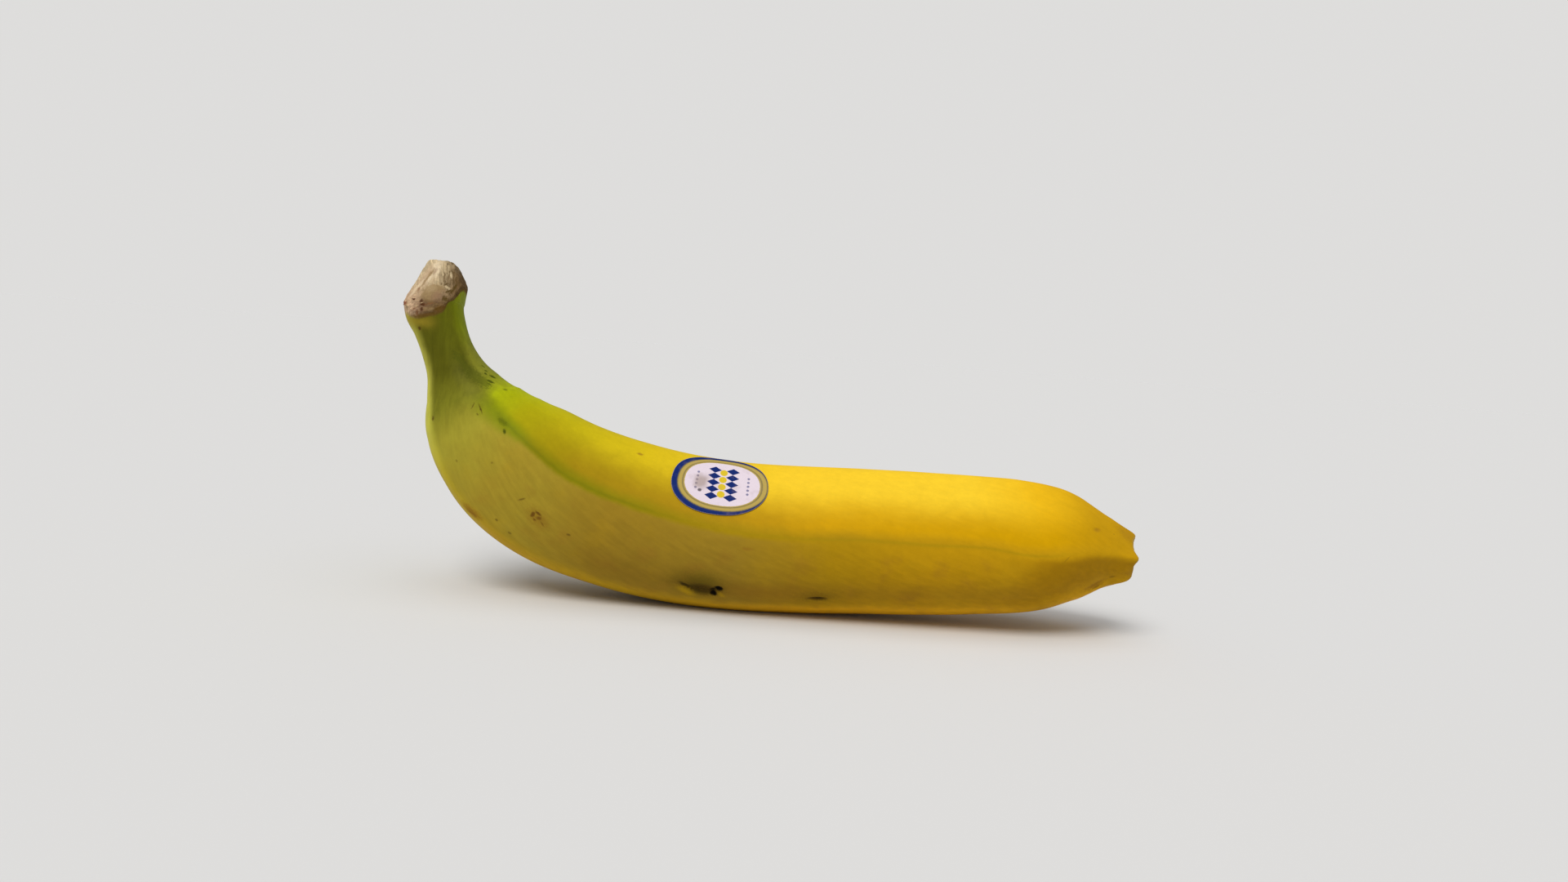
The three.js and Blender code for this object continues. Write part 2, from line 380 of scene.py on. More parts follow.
def on_front(angle: Array) -> Array:
    """Gives the same height's angle on the front side, from -90 to 90 degrees."""
    return 90 - np.abs(turned(angle, 90))


def eased(share: Array) -> Array:
    """Runs smoothly from 0 to 1, and stays there."""
    t = np.clip(share, 0, 1)
    return t * t * (3 - 2 * t)


@dataclass(frozen=True)
class KnifeCut:
    """A flat face left by the knife: a point on it, in the drawing, and its outward direction."""

    point: Triple
    outward: Triple


KNIFE_CUTS = (
    KnifeCut((-84.3, 3.0, 83.8), (-0.1, -0.73, 0.67)),
    KnifeCut((-90.4, 4.0, 81.8), (-0.8, -0.3, 0.52)),
    KnifeCut((-82.4, 9.0, 88.9), (0.16, 0.15, 0.97)),
    KnifeCut((-78.8, 6.0, 85.3), (0.88, 0.1, 0.47)),
)


@dataclass
class FruitForm:
    """The law that gives the fruit's outline: sections run smoothly through the stations."""

    rest_tilt: float = 4.5  # degrees that the fruit rocks back from the drawing to where it balances
    pressed: float = 0.7  # how far its own weight flattens the soft belly
    low_ridge: float = -50.0  # degrees, where the lower ridge on the front side runs
    keel: float = -90.0  # degrees, the rounded middle of the belly
    ridge_spread: float = 9.0  # degrees over which a ridge's lift fades out
    lip_reach: float = 1.1  # how far each ridge runs on past the tip's rim
    lip_spread: float = 16.0  # degrees
    lip_from: float = 1.5  # stations before the rim at which the lips begin
    lip_edge: float = 4.0  # how closely the lips keep to the rim
    low_lip: float = -30.0  # degrees, where the rim is full below the side ridge
    low_lip_reach: float = 1.3
    low_lip_spread: float = 22.0
    side_lip_reach: float = 0.35  # how much further than the others the side ridges run on
    cut_round: float = 0.35  # millimetres by which the edges between knife cuts are rounded
    cut_between: Pair = (-0.9, 3.0)  # stations between which the cuts lie
    halvings: int = 26  # steps by which a line's crossing with the cuts is closed in on
    table_step: float = 0.02  # stations between the entries of the tables below
    table_turns: int = 120  # angles at which their sections are measured
    survey: Pair = (0.1, 3.0)  # stations and degrees between the points that place it
    short_way: float = 0.01  # stations, to find which way the fruit runs

    def measure(self, name: str, station: Array) -> Array:
        """Gives one measure at fractional station numbers.

        Args:
            name: the measure, a field of Station.
            station: station numbers of any shape.

        Returns:
            The measure at each, run smoothly through all the stations.
        """
        drawn = np.array([getattr(s, name) for s in STATIONS], dtype=float)
        ends = np.concatenate([[2 * drawn[0] - drawn[1]], drawn, [2 * drawn[-1] - drawn[-2]]])
        first = np.clip(np.floor(station), 0, LAST - 1).astype(int)
        t = station - first
        before, here, after, beyond = (ends[first + k] for k in range(4))
        bend = 2 * before - 5 * here + 4 * after - beyond
        twist = 3 * here - before - 3 * after + beyond
        return here + 0.5 * t * (after - before + t * (bend + t * twist))

    def middle(self, station: Array) -> Array:
        """Gives the middle of the section at each station number."""
        return np.stack([self.measure(axis, station) for axis in "xyz"], axis=-1)

    def directions(self, station: Array) -> tuple[Array, Array, Array]:
        """Gives which way the fruit runs, and the section's own directions.

        Args:
            station: station numbers.

        Returns:
            Unit vectors along the run, up the section, and across it to the front.
        """
        run = self.middle(station + self.short_way) - self.middle(station - self.short_way)
        run /= np.linalg.norm(run, axis=-1, keepdims=True)
        up = np.cross(np.array([0.0, -1.0, 0.0]), run)
        up /= np.linalg.norm(up, axis=-1, keepdims=True)
        return run, up, np.cross(run, up)

    def corners(self, station: Array) -> list[Array]:
        """Gives the angles of the section's corners, from the upper ridge round by the front."""
        lean = self.measure("lean", station)
        low, same = self.low_ridge, np.zeros_like(lean)
        return [same + 90, lean, same + low, same + self.keel, same - 180 - low, -180 - lean, same - 270]

    def on_ridge(self, station: Array, angle: Array, spread: float) -> Array:
        """Tells how strongly an angle belongs to a ridge.

        Args:
            station: station numbers.
            angle: degrees around the section, of the same shape.
            spread: degrees over which a ridge fades out.

        Returns:
            1 on any of the five ridges, fading to 0.
        """
        upper, side, low, _, far_low, far_side, _ = self.corners(station)
        total = np.zeros_like(angle)
        for ridge in (upper, side, low, far_low, far_side):
            total += np.exp(-((turned(angle, ridge) / spread) ** 2))
        return total

    def radius(self, station: Array, angle: Array) -> Array:
        """Gives the radius of a section of unit size, with rounded corners.

        Args:
            station: station numbers.
            angle: degrees around the section, of the same shape.

        Returns:
            The radius.
        """
        corners = self.corners(station)
        crisp = self.measure("crisp", station)
        total = np.zeros_like(angle)
        for upper, lower in zip(corners, corners[1:]):
            facing, half = (upper + lower) / 2, (upper - lower) / 2
            reach = np.cos(np.radians(angle - facing)) / np.cos(np.radians(half))
            total += np.maximum(reach, 0) ** crisp
        lift = self.measure("lift", station) * self.on_ridge(station, angle, self.ridge_spread)
        return total ** (-1 / crisp) * (1 + lift)

    @cached_property
    def table(self) -> dict[str, Array]:
        """Measures the sections for station numbers in small steps.

        Returns:
            The station numbers, the distance along the fruit, and the section's box at each.
        """
        station = np.arange(-1, LAST + 1, self.table_step)
        around = 360 * np.arange(self.table_turns) / self.table_turns
        placed, angle = np.meshgrid(station, around, indexing="ij")
        radius = self.radius(placed, angle)
        x, z = radius * np.cos(np.radians(angle)), radius * np.sin(np.radians(angle))
        steps = np.linalg.norm(np.diff(self.middle(station), axis=0), axis=1)
        arc = np.concatenate([[0], np.cumsum(steps)])
        arc -= np.interp(0, station, arc)
        low, high = np.stack([x.min(1), z.min(1)]), np.stack([x.max(1), z.max(1)])
        return {"station": station, "arc": arc, "centre": (low + high) / 2, "half": (high - low) / 2}

    def arc(self, station: Array) -> Array:
        """Gives the distance along the fruit from station 0, in millimetres."""
        return np.interp(station, self.table["station"], self.table["arc"])

    def section(self, station: Array, angle: Array, share: Array) -> tuple[Array, Array]:
        """Gives a point's place in its section.

        Args:
            station: station numbers.
            angle: degrees around the section.
            share: share of the radius.

        Returns:
            How far it is across to the front, and how far up, in millimetres.
        """
        radius = self.radius(station, angle)
        turn = np.radians(angle)
        flat = (radius * np.cos(turn), radius * np.sin(turn))
        placed = []
        for k, name in enumerate(("wide", "high")):
            centre = np.interp(station, self.table["station"], self.table["centre"][k])
            half = np.interp(station, self.table["station"], self.table["half"][k])
            placed.append((flat[k] - centre) / half * share * self.measure(name, station))
        return placed[0], placed[1]

    def point(self, station: Array, angle: Array, share: Array) -> Array:
        """Gives a point of the fruit as drawn.

        Args:
            station: station numbers.
            angle: degrees around the section, 0 at the front and 90 at the top of the curve.
            share: share of the radius.

        Returns:
            The point in millimetres.
        """
        run, up, across = self.directions(station)
        x, z = self.section(station, angle, share)
        near_tip = eased((station - LAST + self.lip_from) / self.lip_from)
        front, lean = on_front(angle), self.measure("lean", station)
        fuller = self.low_lip_reach * np.exp(-(((front - self.low_lip) / self.low_lip_spread) ** 2))
        fuller = fuller + self.side_lip_reach * np.exp(-(((front - lean) / self.lip_spread) ** 2))
        lip = self.lip_reach * self.on_ridge(station, angle, self.lip_spread) + fuller
        lip = lip * near_tip * share**self.lip_edge
        return self.middle(station) + x[..., None] * across + z[..., None] * up + lip[..., None] * run

    def beyond_cuts(self, points: Array) -> Array:
        """Tells how far points are beyond the knife cuts.

        Args:
            points: points as drawn, in millimetres.

        Returns:
            The distance of each: negative is in the fruit.
        """
        total = np.zeros(points.shape[:-1])
        for cut in KNIFE_CUTS:
            outward = np.array(cut.outward) / np.linalg.norm(cut.outward)
            total += np.exp((points - np.array(cut.point)) @ outward / self.cut_round)
        return self.cut_round * np.log(total)

    def cut_station(self, angle: Array, share: Array) -> Array:
        """Finds where each line along the stalk meets the cuts.

        Args:
            angle: degrees around the stalk.
            share: share of the radius.

        Returns:
            The station number on the cut surface.
        """
        outer, inner = (np.full(angle.shape, end) for end in self.cut_between)
        for _ in range(self.halvings):
            tried = (outer + inner) / 2
            beyond = self.beyond_cuts(self.point(tried, angle, share)) > 0
            outer, inner = np.where(beyond, tried, outer), np.where(beyond, inner, tried)
        return (outer + inner) / 2

    def rock_back(self, points: Array) -> Array:
        """Turns drawn points to how the fruit rests."""
        a = math.radians(self.rest_tilt)
        x, y, z = points[..., 0], points[..., 1], points[..., 2]
        return np.stack([x * math.cos(a) - z * math.sin(a), y, x * math.sin(a) + z * math.cos(a)], axis=-1)

    @cached_property
    def shift(self) -> Array:
        """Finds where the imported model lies.

        Returns:
            How far the rested fruit moves to lie there, in millimetres.
        """
        step, turn = self.survey
        station, angle = np.meshgrid(np.arange(0, LAST + step / 2, step), np.arange(-180, 180, turn))
        station = np.maximum(station, self.cut_station(angle, np.ones_like(angle)))
        points = self.rock_back(self.point(station, angle, np.ones_like(angle))).reshape(-1, 3)
        low, high = (np.array(corner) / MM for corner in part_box("banana"))
        centred = (low + high) / 2 - (points.min(0) + points.max(0)) / 2
        return np.array([centred[0], centred[1], -points[:, 2].min() - self.pressed])

    def rested(self, points: Array) -> Array:
        """Gives where drawn points lie in the model, in millimetres."""
        return self.rock_back(points) + self.shift


# ---- Marks on the peel ----


class Pigment(Enum):
    """A choice of colours, each written as hexadecimal digits."""

    @property
    def light(self) -> Colour:
        """Gives the colour in scene-linear light."""
        return rgb(self.value)


class Tone(Pigment):
    """What a mark is, by its colour. The smudges are painted shadow, the bruises are dents darkened partly
    by painted shade, and the pale marks are painted light.
    """

    # Painted shadow, soft and dark, around the bruise and the slit.
    PAINTED_SHADOW = "4f480f"
    OLIVE = "464e0e"
    # Dark dents, their colour partly a bruise and partly painted shade.
    BRUISE_AND_SHADE = "33290c"
    SCUFF = "4f3512"
    BLUSH = "95691f"
    # Painted light: paler patches below the bruise.
    PALE = "c39c14"
    KNOT = "4b3018"
    CRACK = "120d06"


@dataclass(frozen=True)
class Mark:
    """One mark: its middle along and around the fruit, half its size, its turn and its strength."""

    tone: Tone
    arc: float  # millimetres from the stalk's top
    angle: float  # degrees
    long: float  # half its length, millimetres
    wide: float  # half its width, millimetres
    turn: float = 0.0  # degrees from the fruit's run
    soft: float = 0.45  # share of its radius over which its edge fades
    strength: float = 0.9
    dent: float = 0.0  # how far it sinks in, millimetres
    ragged: float = 1.0  # how much its outline breaks up into specks

    def ways(self) -> tuple[Array, Array, Array]:
        """Gives the vectors that measure a point of the straightened fruit against the mark.

        Returns:
            Along the mark and across it, each divided by half its size, and outwards.
        """
        a, t = math.radians(self.angle), math.radians(self.turn)
        around = np.array([0.0, -math.sin(a), math.cos(a)])
        run = np.array([1.0, 0.0, 0.0])
        along = math.cos(t) * run + math.sin(t) * around
        across = -math.sin(t) * run + math.cos(t) * around
        return along / self.long, across / self.wide, np.array([0.0, math.cos(a), math.sin(a)])


def oval_mask(board: Board, place: Value, oval: Sequence[Value], soft: Value, wobble: Value) -> Wire:
    """Writes the formula of an oval.

    Args:
        board: where it is written.
        place: the point, in millimetres.
        oval: its middle, and the two ways across it, each divided by half its size.
        soft: share of the radius over which the edge fades.
        wobble: noise around 0 that roughens the outline.

    Returns:
        1 inside the oval and 0 outside.
    """
    middle, along, across = oval
    here = board.vectors("SUBTRACT", place, middle)
    a, b = board.dot(here, along), board.dot(here, across)
    far = board.math("SQRT", a * a + b * b) + wobble
    return board.smooth(far, board.math("ADD", 1.0, soft), board.math("SUBTRACT", 1.0, soft))


NEAR_SIDE: Fade = (0.0, 2.0)  # millimetres out from the fruit's middle, so that a mark has one side


def mark_mask(board: Board, flow: Value, mark: Sequence[Value], soft: Value, wobble: Value) -> Wire:
    """Writes the formula of one mark: an oval on one side of the fruit.

    Args:
        board: where it is written.
        flow: the point in the straightened fruit, in millimetres.
        mark: the mark's middle, and its three ways.
        soft: share of the radius over which the edge fades.
        wobble: noise around 0 that roughens the outline.

    Returns:
        1 inside the mark and 0 outside.
    """
    *oval, outward = mark
    out = board.dot(board.vectors("SUBTRACT", flow, oval[0]), outward)
    return oval_mask(board, flow, oval, soft, wobble) * board.smooth(out, *NEAR_SIDE)


MARKS = (
    # The bruise low on the front: a painted shadow with a sharp end, patches of painted light below it,
    # and three black spots.
    Mark(Tone.PAINTED_SHADOW, 110.0, -35.5, 5.4, 3.1, 0, 0.9, 0.7, 0.0, 0.3),
    Mark(Tone.BRUISE_AND_SHADE, 110.8, -41.5, 3.9, 1.6, 0, 0.6, 0.9, 0.35, 0.4),
    Mark(Tone.BRUISE_AND_SHADE, 107.2, -40.6, 2.1, 0.6, -34, 0.45, 0.9, 0.3, 0.6),
    Mark(Tone.PALE, 107.0, -45.4, 2.0, 0.8, -28, 0.8, 0.6),
    Mark(Tone.PALE, 115.2, -45.0, 1.0, 0.5, -40, 0.8, 0.4),
    Mark(Tone.CRACK, 114.4, -38.6, 1.0, 0.85, 0, 0.35, 1.0, 0.5, 0.6),
    Mark(Tone.CRACK, 113.3, -44.8, 0.8, 0.65, 0, 0.35, 1.0, 0.5, 0.6),
    Mark(Tone.CRACK, 113.1, -41.4, 0.7, 0.6, 60, 0.6, 0.8, 0.4, 0.6),
    Mark(Tone.BLUSH, 125.0, -39, 11.0, 2.2, 0, 0.9, 0.35),
    # The short slit beside it, in painted shadow.
    Mark(Tone.PAINTED_SHADOW, 136.8, -41, 3.8, 1.5, 0, 0.9, 0.4),
    Mark(Tone.BRUISE_AND_SHADE, 137.3, -43.4, 2.1, 0.55, 0, 0.6, 0.95, 0.35, 0.3),
    # Rubbed spots on the shoulder.
    Mark(Tone.BLUSH, 71.4, -18, 2.4, 1.8, -20, 0.8, 0.45),
    Mark(Tone.SCUFF, 70.2, -17.0, 0.75, 0.42, 80, 0.5, 0.95, 0.12),
    Mark(Tone.SCUFF, 71.2, -13.8, 0.8, 0.32, -15, 0.5, 0.9, 0.12),
    Mark(Tone.SCUFF, 71.7, -17.3, 0.6, 0.38, 25, 0.6, 0.85, 0.12),
    Mark(Tone.SCUFF, 71.0, -20.4, 0.35, 0.25, 0, 0.6, 0.85, 0.1),
    Mark(Tone.SCUFF, 72.7, -20.4, 0.7, 0.2, -40, 0.6, 0.6, 0.1),
    Mark(Tone.SCUFF, 66.5, -10.4, 0.9, 0.22, 50, 0.6, 0.55),
    Mark(Tone.BLUSH, 58.3, -53, 2.2, 1.2, 20, 0.7, 0.8),
    Mark(Tone.SCUFF, 58.6, -54, 1.0, 0.3, 20, 0.6, 0.55),
    Mark(Tone.SCUFF, 63.8, -41, 0.35, 0.3, 0, 0.5, 0.6),
    Mark(Tone.SCUFF, 67.4, -44.3, 0.4, 0.3, 0, 0.5, 0.55),
    Mark(Tone.SCUFF, 78.9, -20, 0.45, 0.3, 0, 0.5, 0.55),
    Mark(Tone.SCUFF, 49.5, -29.8, 0.3, 0.3, 0, 0.5, 0.4),
    Mark(Tone.SCUFF, 55.8, -1.2, 0.3, 0.3, 0, 0.5, 0.4),
    # Scratches where the neck meets the body.
    Mark(Tone.SCUFF, 41.2, 18.6, 0.8, 0.16, -48, 0.7, 0.7, 0.08),
    Mark(Tone.SCUFF, 43.0, 23.4, 1.25, 0.17, -12, 0.7, 0.8, 0.08),
    Mark(Tone.SCUFF, 43.9, 17.6, 0.3, 0.2, 0, 0.7, 0.6, 0.08),
    Mark(Tone.SCUFF, 39.2, -41.8, 0.4, 0.4, 0, 0.5, 0.7, 0.15),
    Mark(Tone.OLIVE, 52.5, 26.0, 0.65, 0.35, -30, 0.5, 0.9, 0.15),
    Mark(Tone.OLIVE, 50.0, 31.0, 1.6, 0.6, 0, 0.7, 0.5),
    # The speckled smudge inside the bend.
    Mark(Tone.OLIVE, 29.6, 35, 3.2, 1.0, 12, 0.45, 0.4, 0.0, 2.0),
    Mark(Tone.OLIVE, 33.4, 40, 3.4, 1.6, 12, 0.45, 0.5, 0.0, 2.0),
    Mark(Tone.OLIVE, 36.0, 46, 2.4, 1.3, 12, 0.45, 0.55, 0.0, 2.0),
    Mark(Tone.OLIVE, 36.6, 56.0, 1.0, 0.45, 45, 0.4, 0.9),
    Mark(Tone.OLIVE, 35.6, 68.0, 0.8, 0.4, 50, 0.4, 0.9),
    Mark(Tone.OLIVE, 34.4, 60.0, 0.4, 0.35, 0, 0.5, 0.9),
    Mark(Tone.OLIVE, 33.6, 66.0, 0.45, 0.3, 20, 0.5, 0.8),
    Mark(Tone.OLIVE, 32.0, 71.0, 0.5, 0.3, 20, 0.5, 0.7),
    Mark(Tone.OLIVE, 37.2, 51.0, 0.6, 0.35, 30, 0.5, 0.7),
    Mark(Tone.OLIVE, 41.0, 63.0, 0.7, 0.5, 0, 0.6, 0.6),
    Mark(Tone.SCUFF, 18.3, -28.6, 0.5, 0.45, 0, 0.5, 0.8),
    # Small marks near the tip and along the upper face.
    Mark(Tone.BLUSH, 205.9, 45.8, 0.9, 0.5, 30, 0.8, 0.45, 0.1),
    Mark(Tone.BLUSH, 207.0, -44, 2.4, 0.7, 12, 0.8, 0.75, 0.15),
    Mark(Tone.SCUFF, 207.8, -48, 1.0, 0.3, 10, 0.7, 0.5, 0.1),
    Mark(Tone.SCUFF, 211.6, -36, 0.8, 0.25, 0, 0.6, 0.4),
    Mark(Tone.SCUFF, 197.3, -1.2, 1.1, 0.12, 45, 0.6, 0.3),
    Mark(Tone.BLUSH, 88.5, 69.4, 0.8, 0.4, 0, 0.6, 0.7),
    Mark(Tone.BLUSH, 120.3, 0.5, 1.2, 0.4, 0, 0.6, 0.5),
    Mark(Tone.BLUSH, 214.6, 72.0, 2.4, 1.8, 0, 0.9, 0.35),
    # Knots sunk in the cut end of the stalk.
    Mark(Tone.KNOT, 11.4, -46.0, 0.5, 0.4, 0, 0.5, 0.0, 0.25),
    Mark(Tone.KNOT, 13.0, -4.3, 0.7, 0.5, 0, 0.4, 0.0, 0.35),
    Mark(Tone.KNOT, 12.0, -15.7, 0.5, 0.4, 30, 0.5, 0.0, 0.2),
    Mark(Tone.KNOT, 14.4, 0.5, 0.5, 0.5, 0, 0.5, 0.0, 0.2),
)


# ---- Finishes ----


class Paint(Pigment):
    """The fruit's colours. Most are its own colours in daylight; SHADOW is painted shade, and the faces'
    runs and the cut end's sides also use them for painted light and shade.
    """

    MOSS = "5b5a13"
    FERN = "676916"
    REED = "797820"
    GHERKIN = "868628"
    IVY = "838a07"
    LEAF = "8b9514"
    LIME = "a9b20a"
    SPRING = "b7bc06"
    CITRON = "c3b410"
    CORN = "d9bc17"
    YELLOW = "f6cc2c"
    GOLD = "edba17"
    OLIVE = "8b8209"
    MUSTARD = "aba008"
    OCHRE = "a2860e"
    BRASS = "b18a10"
    HONEY = "c2940f"
    AMBER = "cf9d02"
    PEAR = "a79d33"
    DULL_YELLOW = "a8912d"
    KHAKI = "a08125"
    BARK = "a97d0b"
    CELERY = "b5b045"
    SULPHUR = "c9c54c"
    HAY = "c2ad24"
    STRAW = "c29c1a"
    SUN = "e1ab1a"
    # Painted shadow above the lower ridge of the front side.
    SHADOW = "80601c"
    SAGE = "646a0c"
    RUSSET = "9a6c24"
    # A pale line on the tip's rim: partly its dry edge, partly painted highlight.
    DRY_RIM_AND_HIGHLIGHT = "cdb568"
    IVORY = "e6d2b0"
    CREAM = "cfba94"
    SHELL = "c1a383"
    CHAFF = "b59c76"
    HUSK = "94774e"
    CORK = "6b5436"
    STONE = "947b54"
    ROSE = "8a6853"
    RUST = "7b5233"
    DRIED = "56431f"
    UMBER = "4c2c17"
    CRUST = "6b4d20"
    FLAP = "7a3c22"
    RIM = "8d6b22"
    DRY = "3a2713"
    BLACK = "17100a"


Stops = tuple[tuple[float, Paint], ...]

# Millimetres along the fruit at which each face has a colour, from the neck to the tip. Besides the peel's
# own colours, these runs hold painted light and shade.
# Partly painted light: the top of the upper face is painted lighter than the face above the ridge.
UPPER_FACE: Stops = (
    (20, Paint.LEAF), (34, Paint.LEAF), (39, Paint.LIME), (46, Paint.SPRING), (64, Paint.CITRON),
    (92, Paint.CORN), (130, Paint.YELLOW), (174, Paint.YELLOW), (192, Paint.GOLD), (213, Paint.HONEY),
)
ABOVE_RIDGE: Stops = (
    (20, Paint.LEAF), (27, Paint.GHERKIN), (34, Paint.GHERKIN), (42, Paint.LIME), (54, Paint.MUSTARD),
    (76, Paint.OCHRE), (112, Paint.BRASS), (140, Paint.AMBER), (194, Paint.AMBER), (213, Paint.HONEY),
)
RIDGE: Stops = (
    (20, Paint.FERN), (31, Paint.MOSS), (38, Paint.REED), (44, Paint.IVY), (52, Paint.IVY),
    (64, Paint.OLIVE), (82, Paint.OLIVE), (108, Paint.OCHRE), (142, Paint.BRASS), (180, Paint.HONEY),
    (200, Paint.HONEY),
)
# Partly painted shade: the side face is painted darker than the faces above it.
SIDE_FACE: Stops = (
    (20, Paint.MOSS), (30, Paint.MOSS), (38, Paint.REED), (45, Paint.PEAR), (58, Paint.DULL_YELLOW),
    (68, Paint.DULL_YELLOW), (86, Paint.KHAKI), (118, Paint.KHAKI), (140, Paint.BRASS),
    (166, Paint.HONEY), (182, Paint.HONEY), (194, Paint.BARK),
)
# Partly painted light: the belly is painted lighter, as if lit from the floor below.
BELLY: Stops = (
    (26, Paint.CELERY), (35, Paint.SULPHUR), (40, Paint.SULPHUR), (50, Paint.HAY),
    (64, Paint.STRAW), (96, Paint.STRAW), (134, Paint.SUN), (184, Paint.SUN),
    (195, Paint.HONEY), (204, Paint.SUN), (213, Paint.HONEY),
)
LENGTH = 216.0  # millimetres along the fruit


def along_fruit(board: Board, arc: Wire, stops: Stops) -> Wire:
    """Gives one face's colour along the fruit."""
    return board.ramp(arc / LENGTH, [(place / LENGTH, paint.light) for place, paint in stops])


class Effects:
    """The shader groups that the finishes use, each built once."""

    def __init__(self) -> None:
        """Builds the groups."""
        self.grain = self.build_grain()
        self.streaks = self.build_streaks()
        self.blemish = self.build_blemish()
        self.patch = self.build_patch()
        self.freckles = self.build_freckles()

    @staticmethod
    def build_grain() -> Tree:
        """Builds the fine mottling that keeps any grown or printed surface from being even.

        Returns:
            A group that gives a colour darkened or lightened, and a height.
        """
        ins = {Kind.VECTOR: "Vector", Kind.NUMBER: "Coarse Fine Strength", Kind.COLOUR: "Colour"}
        group = Group(ShaderBoard, "grain", ins, {Kind.COLOUR: "Mottled", Kind.NUMBER: "Height"})
        vector, coarse, fine, strength, colour = group.take("Vector Coarse Fine Strength Colour")
        clumps = group.board.noise(vector, coarse, 2.0, 0.6)
        crumbs = group.board.noise(vector, fine, 3.0, 0.7)
        shade = 1.0 + (clumps * 0.55 + crumbs * 0.45 - 0.5) * strength
        group.give("Mottled", group.board.shaded(colour, shade))
        group.give("Height", crumbs)
        return group.tree

    @staticmethod
    def build_streaks() -> Tree:
        """Builds streaks that run along a piece.

        Returns:
            A group that gives a value from 0 to 1.
        """
        ins = {Kind.VECTOR: "Vector", Kind.NUMBER: "Length Width"}
        group = Group(ShaderBoard, "streaks", ins, {Kind.NUMBER: "Mask"})
        vector, long, wide = group.take("Vector Length Width")
        grooves = group.board.noise(group.board.drawn_out(vector, long, wide), 1.0, 3.0, 0.55)
        group.give("Mask", group.board.smooth(grooves, 0.28, 0.72))
        return group.tree

    @staticmethod
    def build_blemish() -> Tree:
        """Builds one mark with a ragged outline, on one side of the fruit.

        Returns:
            A group that gives the mark's mask.
        """
        ins = {Kind.VECTOR: "Flow Middle Along Across Outward", Kind.NUMBER: "Soft Wobble Strength"}
        group = Group(ShaderBoard, "blemish", ins, {Kind.NUMBER: "Mask"})
        flow, *mark = group.take("Flow Middle Along Across Outward")
        soft, wobble, strength = group.take("Soft Wobble Strength")
        group.give("Mask", mark_mask(group.board, flow, mark, soft, wobble) * strength)
        return group.tree

    @staticmethod
    def build_patch() -> Tree:
        """Builds one patch of paint with a ragged outline.

        Returns:
            A group that gives a colour with the patch painted over it.
        """
        ins = {Kind.VECTOR: "Place Middle Along Across", Kind.NUMBER: "Soft Wobble Strength",
               Kind.COLOUR: "Under Paint"}
        group = Group(ShaderBoard, "patch", ins, {Kind.COLOUR: "Colour"})
        place, *oval = group.take("Place Middle Along Across")
        soft, wobble, strength, under, paint = group.take("Soft Wobble Strength Under Paint")
        mask = oval_mask(group.board, place, oval, soft, wobble * soft)
        group.give("Colour", group.board.mix(mask * strength, under, paint))
        return group.tree

    @staticmethod
    def build_freckles() -> Tree:
        """Builds small round specks, of which only some cells have one.

        Returns:
            A group that gives the specks' mask.
        """
        ins = {Kind.VECTOR: "Vector", Kind.NUMBER: "Spacing Size Share"}
        group = Group(ShaderBoard, "freckles", ins, {Kind.NUMBER: "Mask"})
        board = group.board
        vector, spacing, size, share = group.take("Vector Spacing Size Share")
        scale = board.math("DIVIDE", 1.0, spacing)
        look = {"voronoi_dimensions": "3D", "feature": "F1"}
        cells = board.place("ShaderNodeTexVoronoi", {"Vector": vector, "Scale": scale}, **look)
        red, green, _ = board.split(Wire(board, cells.outputs["Color"]))
        reach = size / spacing * (0.5 + green)
        speck = board.smooth(Wire(board, cells.outputs["Distance"]), reach, reach * 0.4)
        group.give("Mask", speck * board.math("LESS_THAN", red, share))
        return group.tree


@dataclass(frozen=True)
class Coat:
    """What the skin or one of its zones looks like at each point."""

    colour: Wire
    roughness: Wire
    height: Wire  # for fine relief


def make_material(
    name: str, write: Callable[[ShaderBoard], Coat], bump: Pair, gloss: float
) -> bpy.types.Material:
    """Makes a material.

    Args:
        name: the material's name.
        write: writes its coat on its board.
        bump: how strong the coat's relief is, from 0 to 1, and how deep, in millimetres.
        gloss: its specular level.

    Returns:
        The material.
    """
    made = bpy.data.materials.new(name)
    made.use_nodes = True
    board = ShaderBoard(made.node_tree)
    coat = write(board)
    relief = {"Strength": bump[0], "Distance": bump[1] * MM, "Height": coat.height}
    looks = {
        "Base Color": coat.colour, "Roughness": coat.roughness, "Specular IOR Level": gloss,
        "Normal": board.read("ShaderNodeBump", relief),
    }
    for socket, value in looks.items():
        board.plug(made.node_tree.nodes["Principled BSDF"].inputs[socket], value)
    return made


@dataclass(frozen=True)
class Edge:
    """Where one colour of the peel gives way to the next, in millimetres above a ridge."""

    start: float
    end: float
    wander: float  # how far noise moves it

    def passed(self, board: Board, above: Wire, noise: Wire, start: Value = 0.0, end: Value = 0.0) -> Wire:
        """Gives 0 before the edge and 1 beyond it. Both its ends may be shifted."""
        return board.smooth(above + noise * self.wander, self.start + start, self.end + end)


def stretch(board: Board, arc: Wire, ends: Stretch) -> Wire:
    """Gives 1 along a stretch of the fruit and 0 elsewhere."""
    start, full, fading, end = ends
    return board.smooth(arc, start, full) * board.smooth(arc, end, fading)


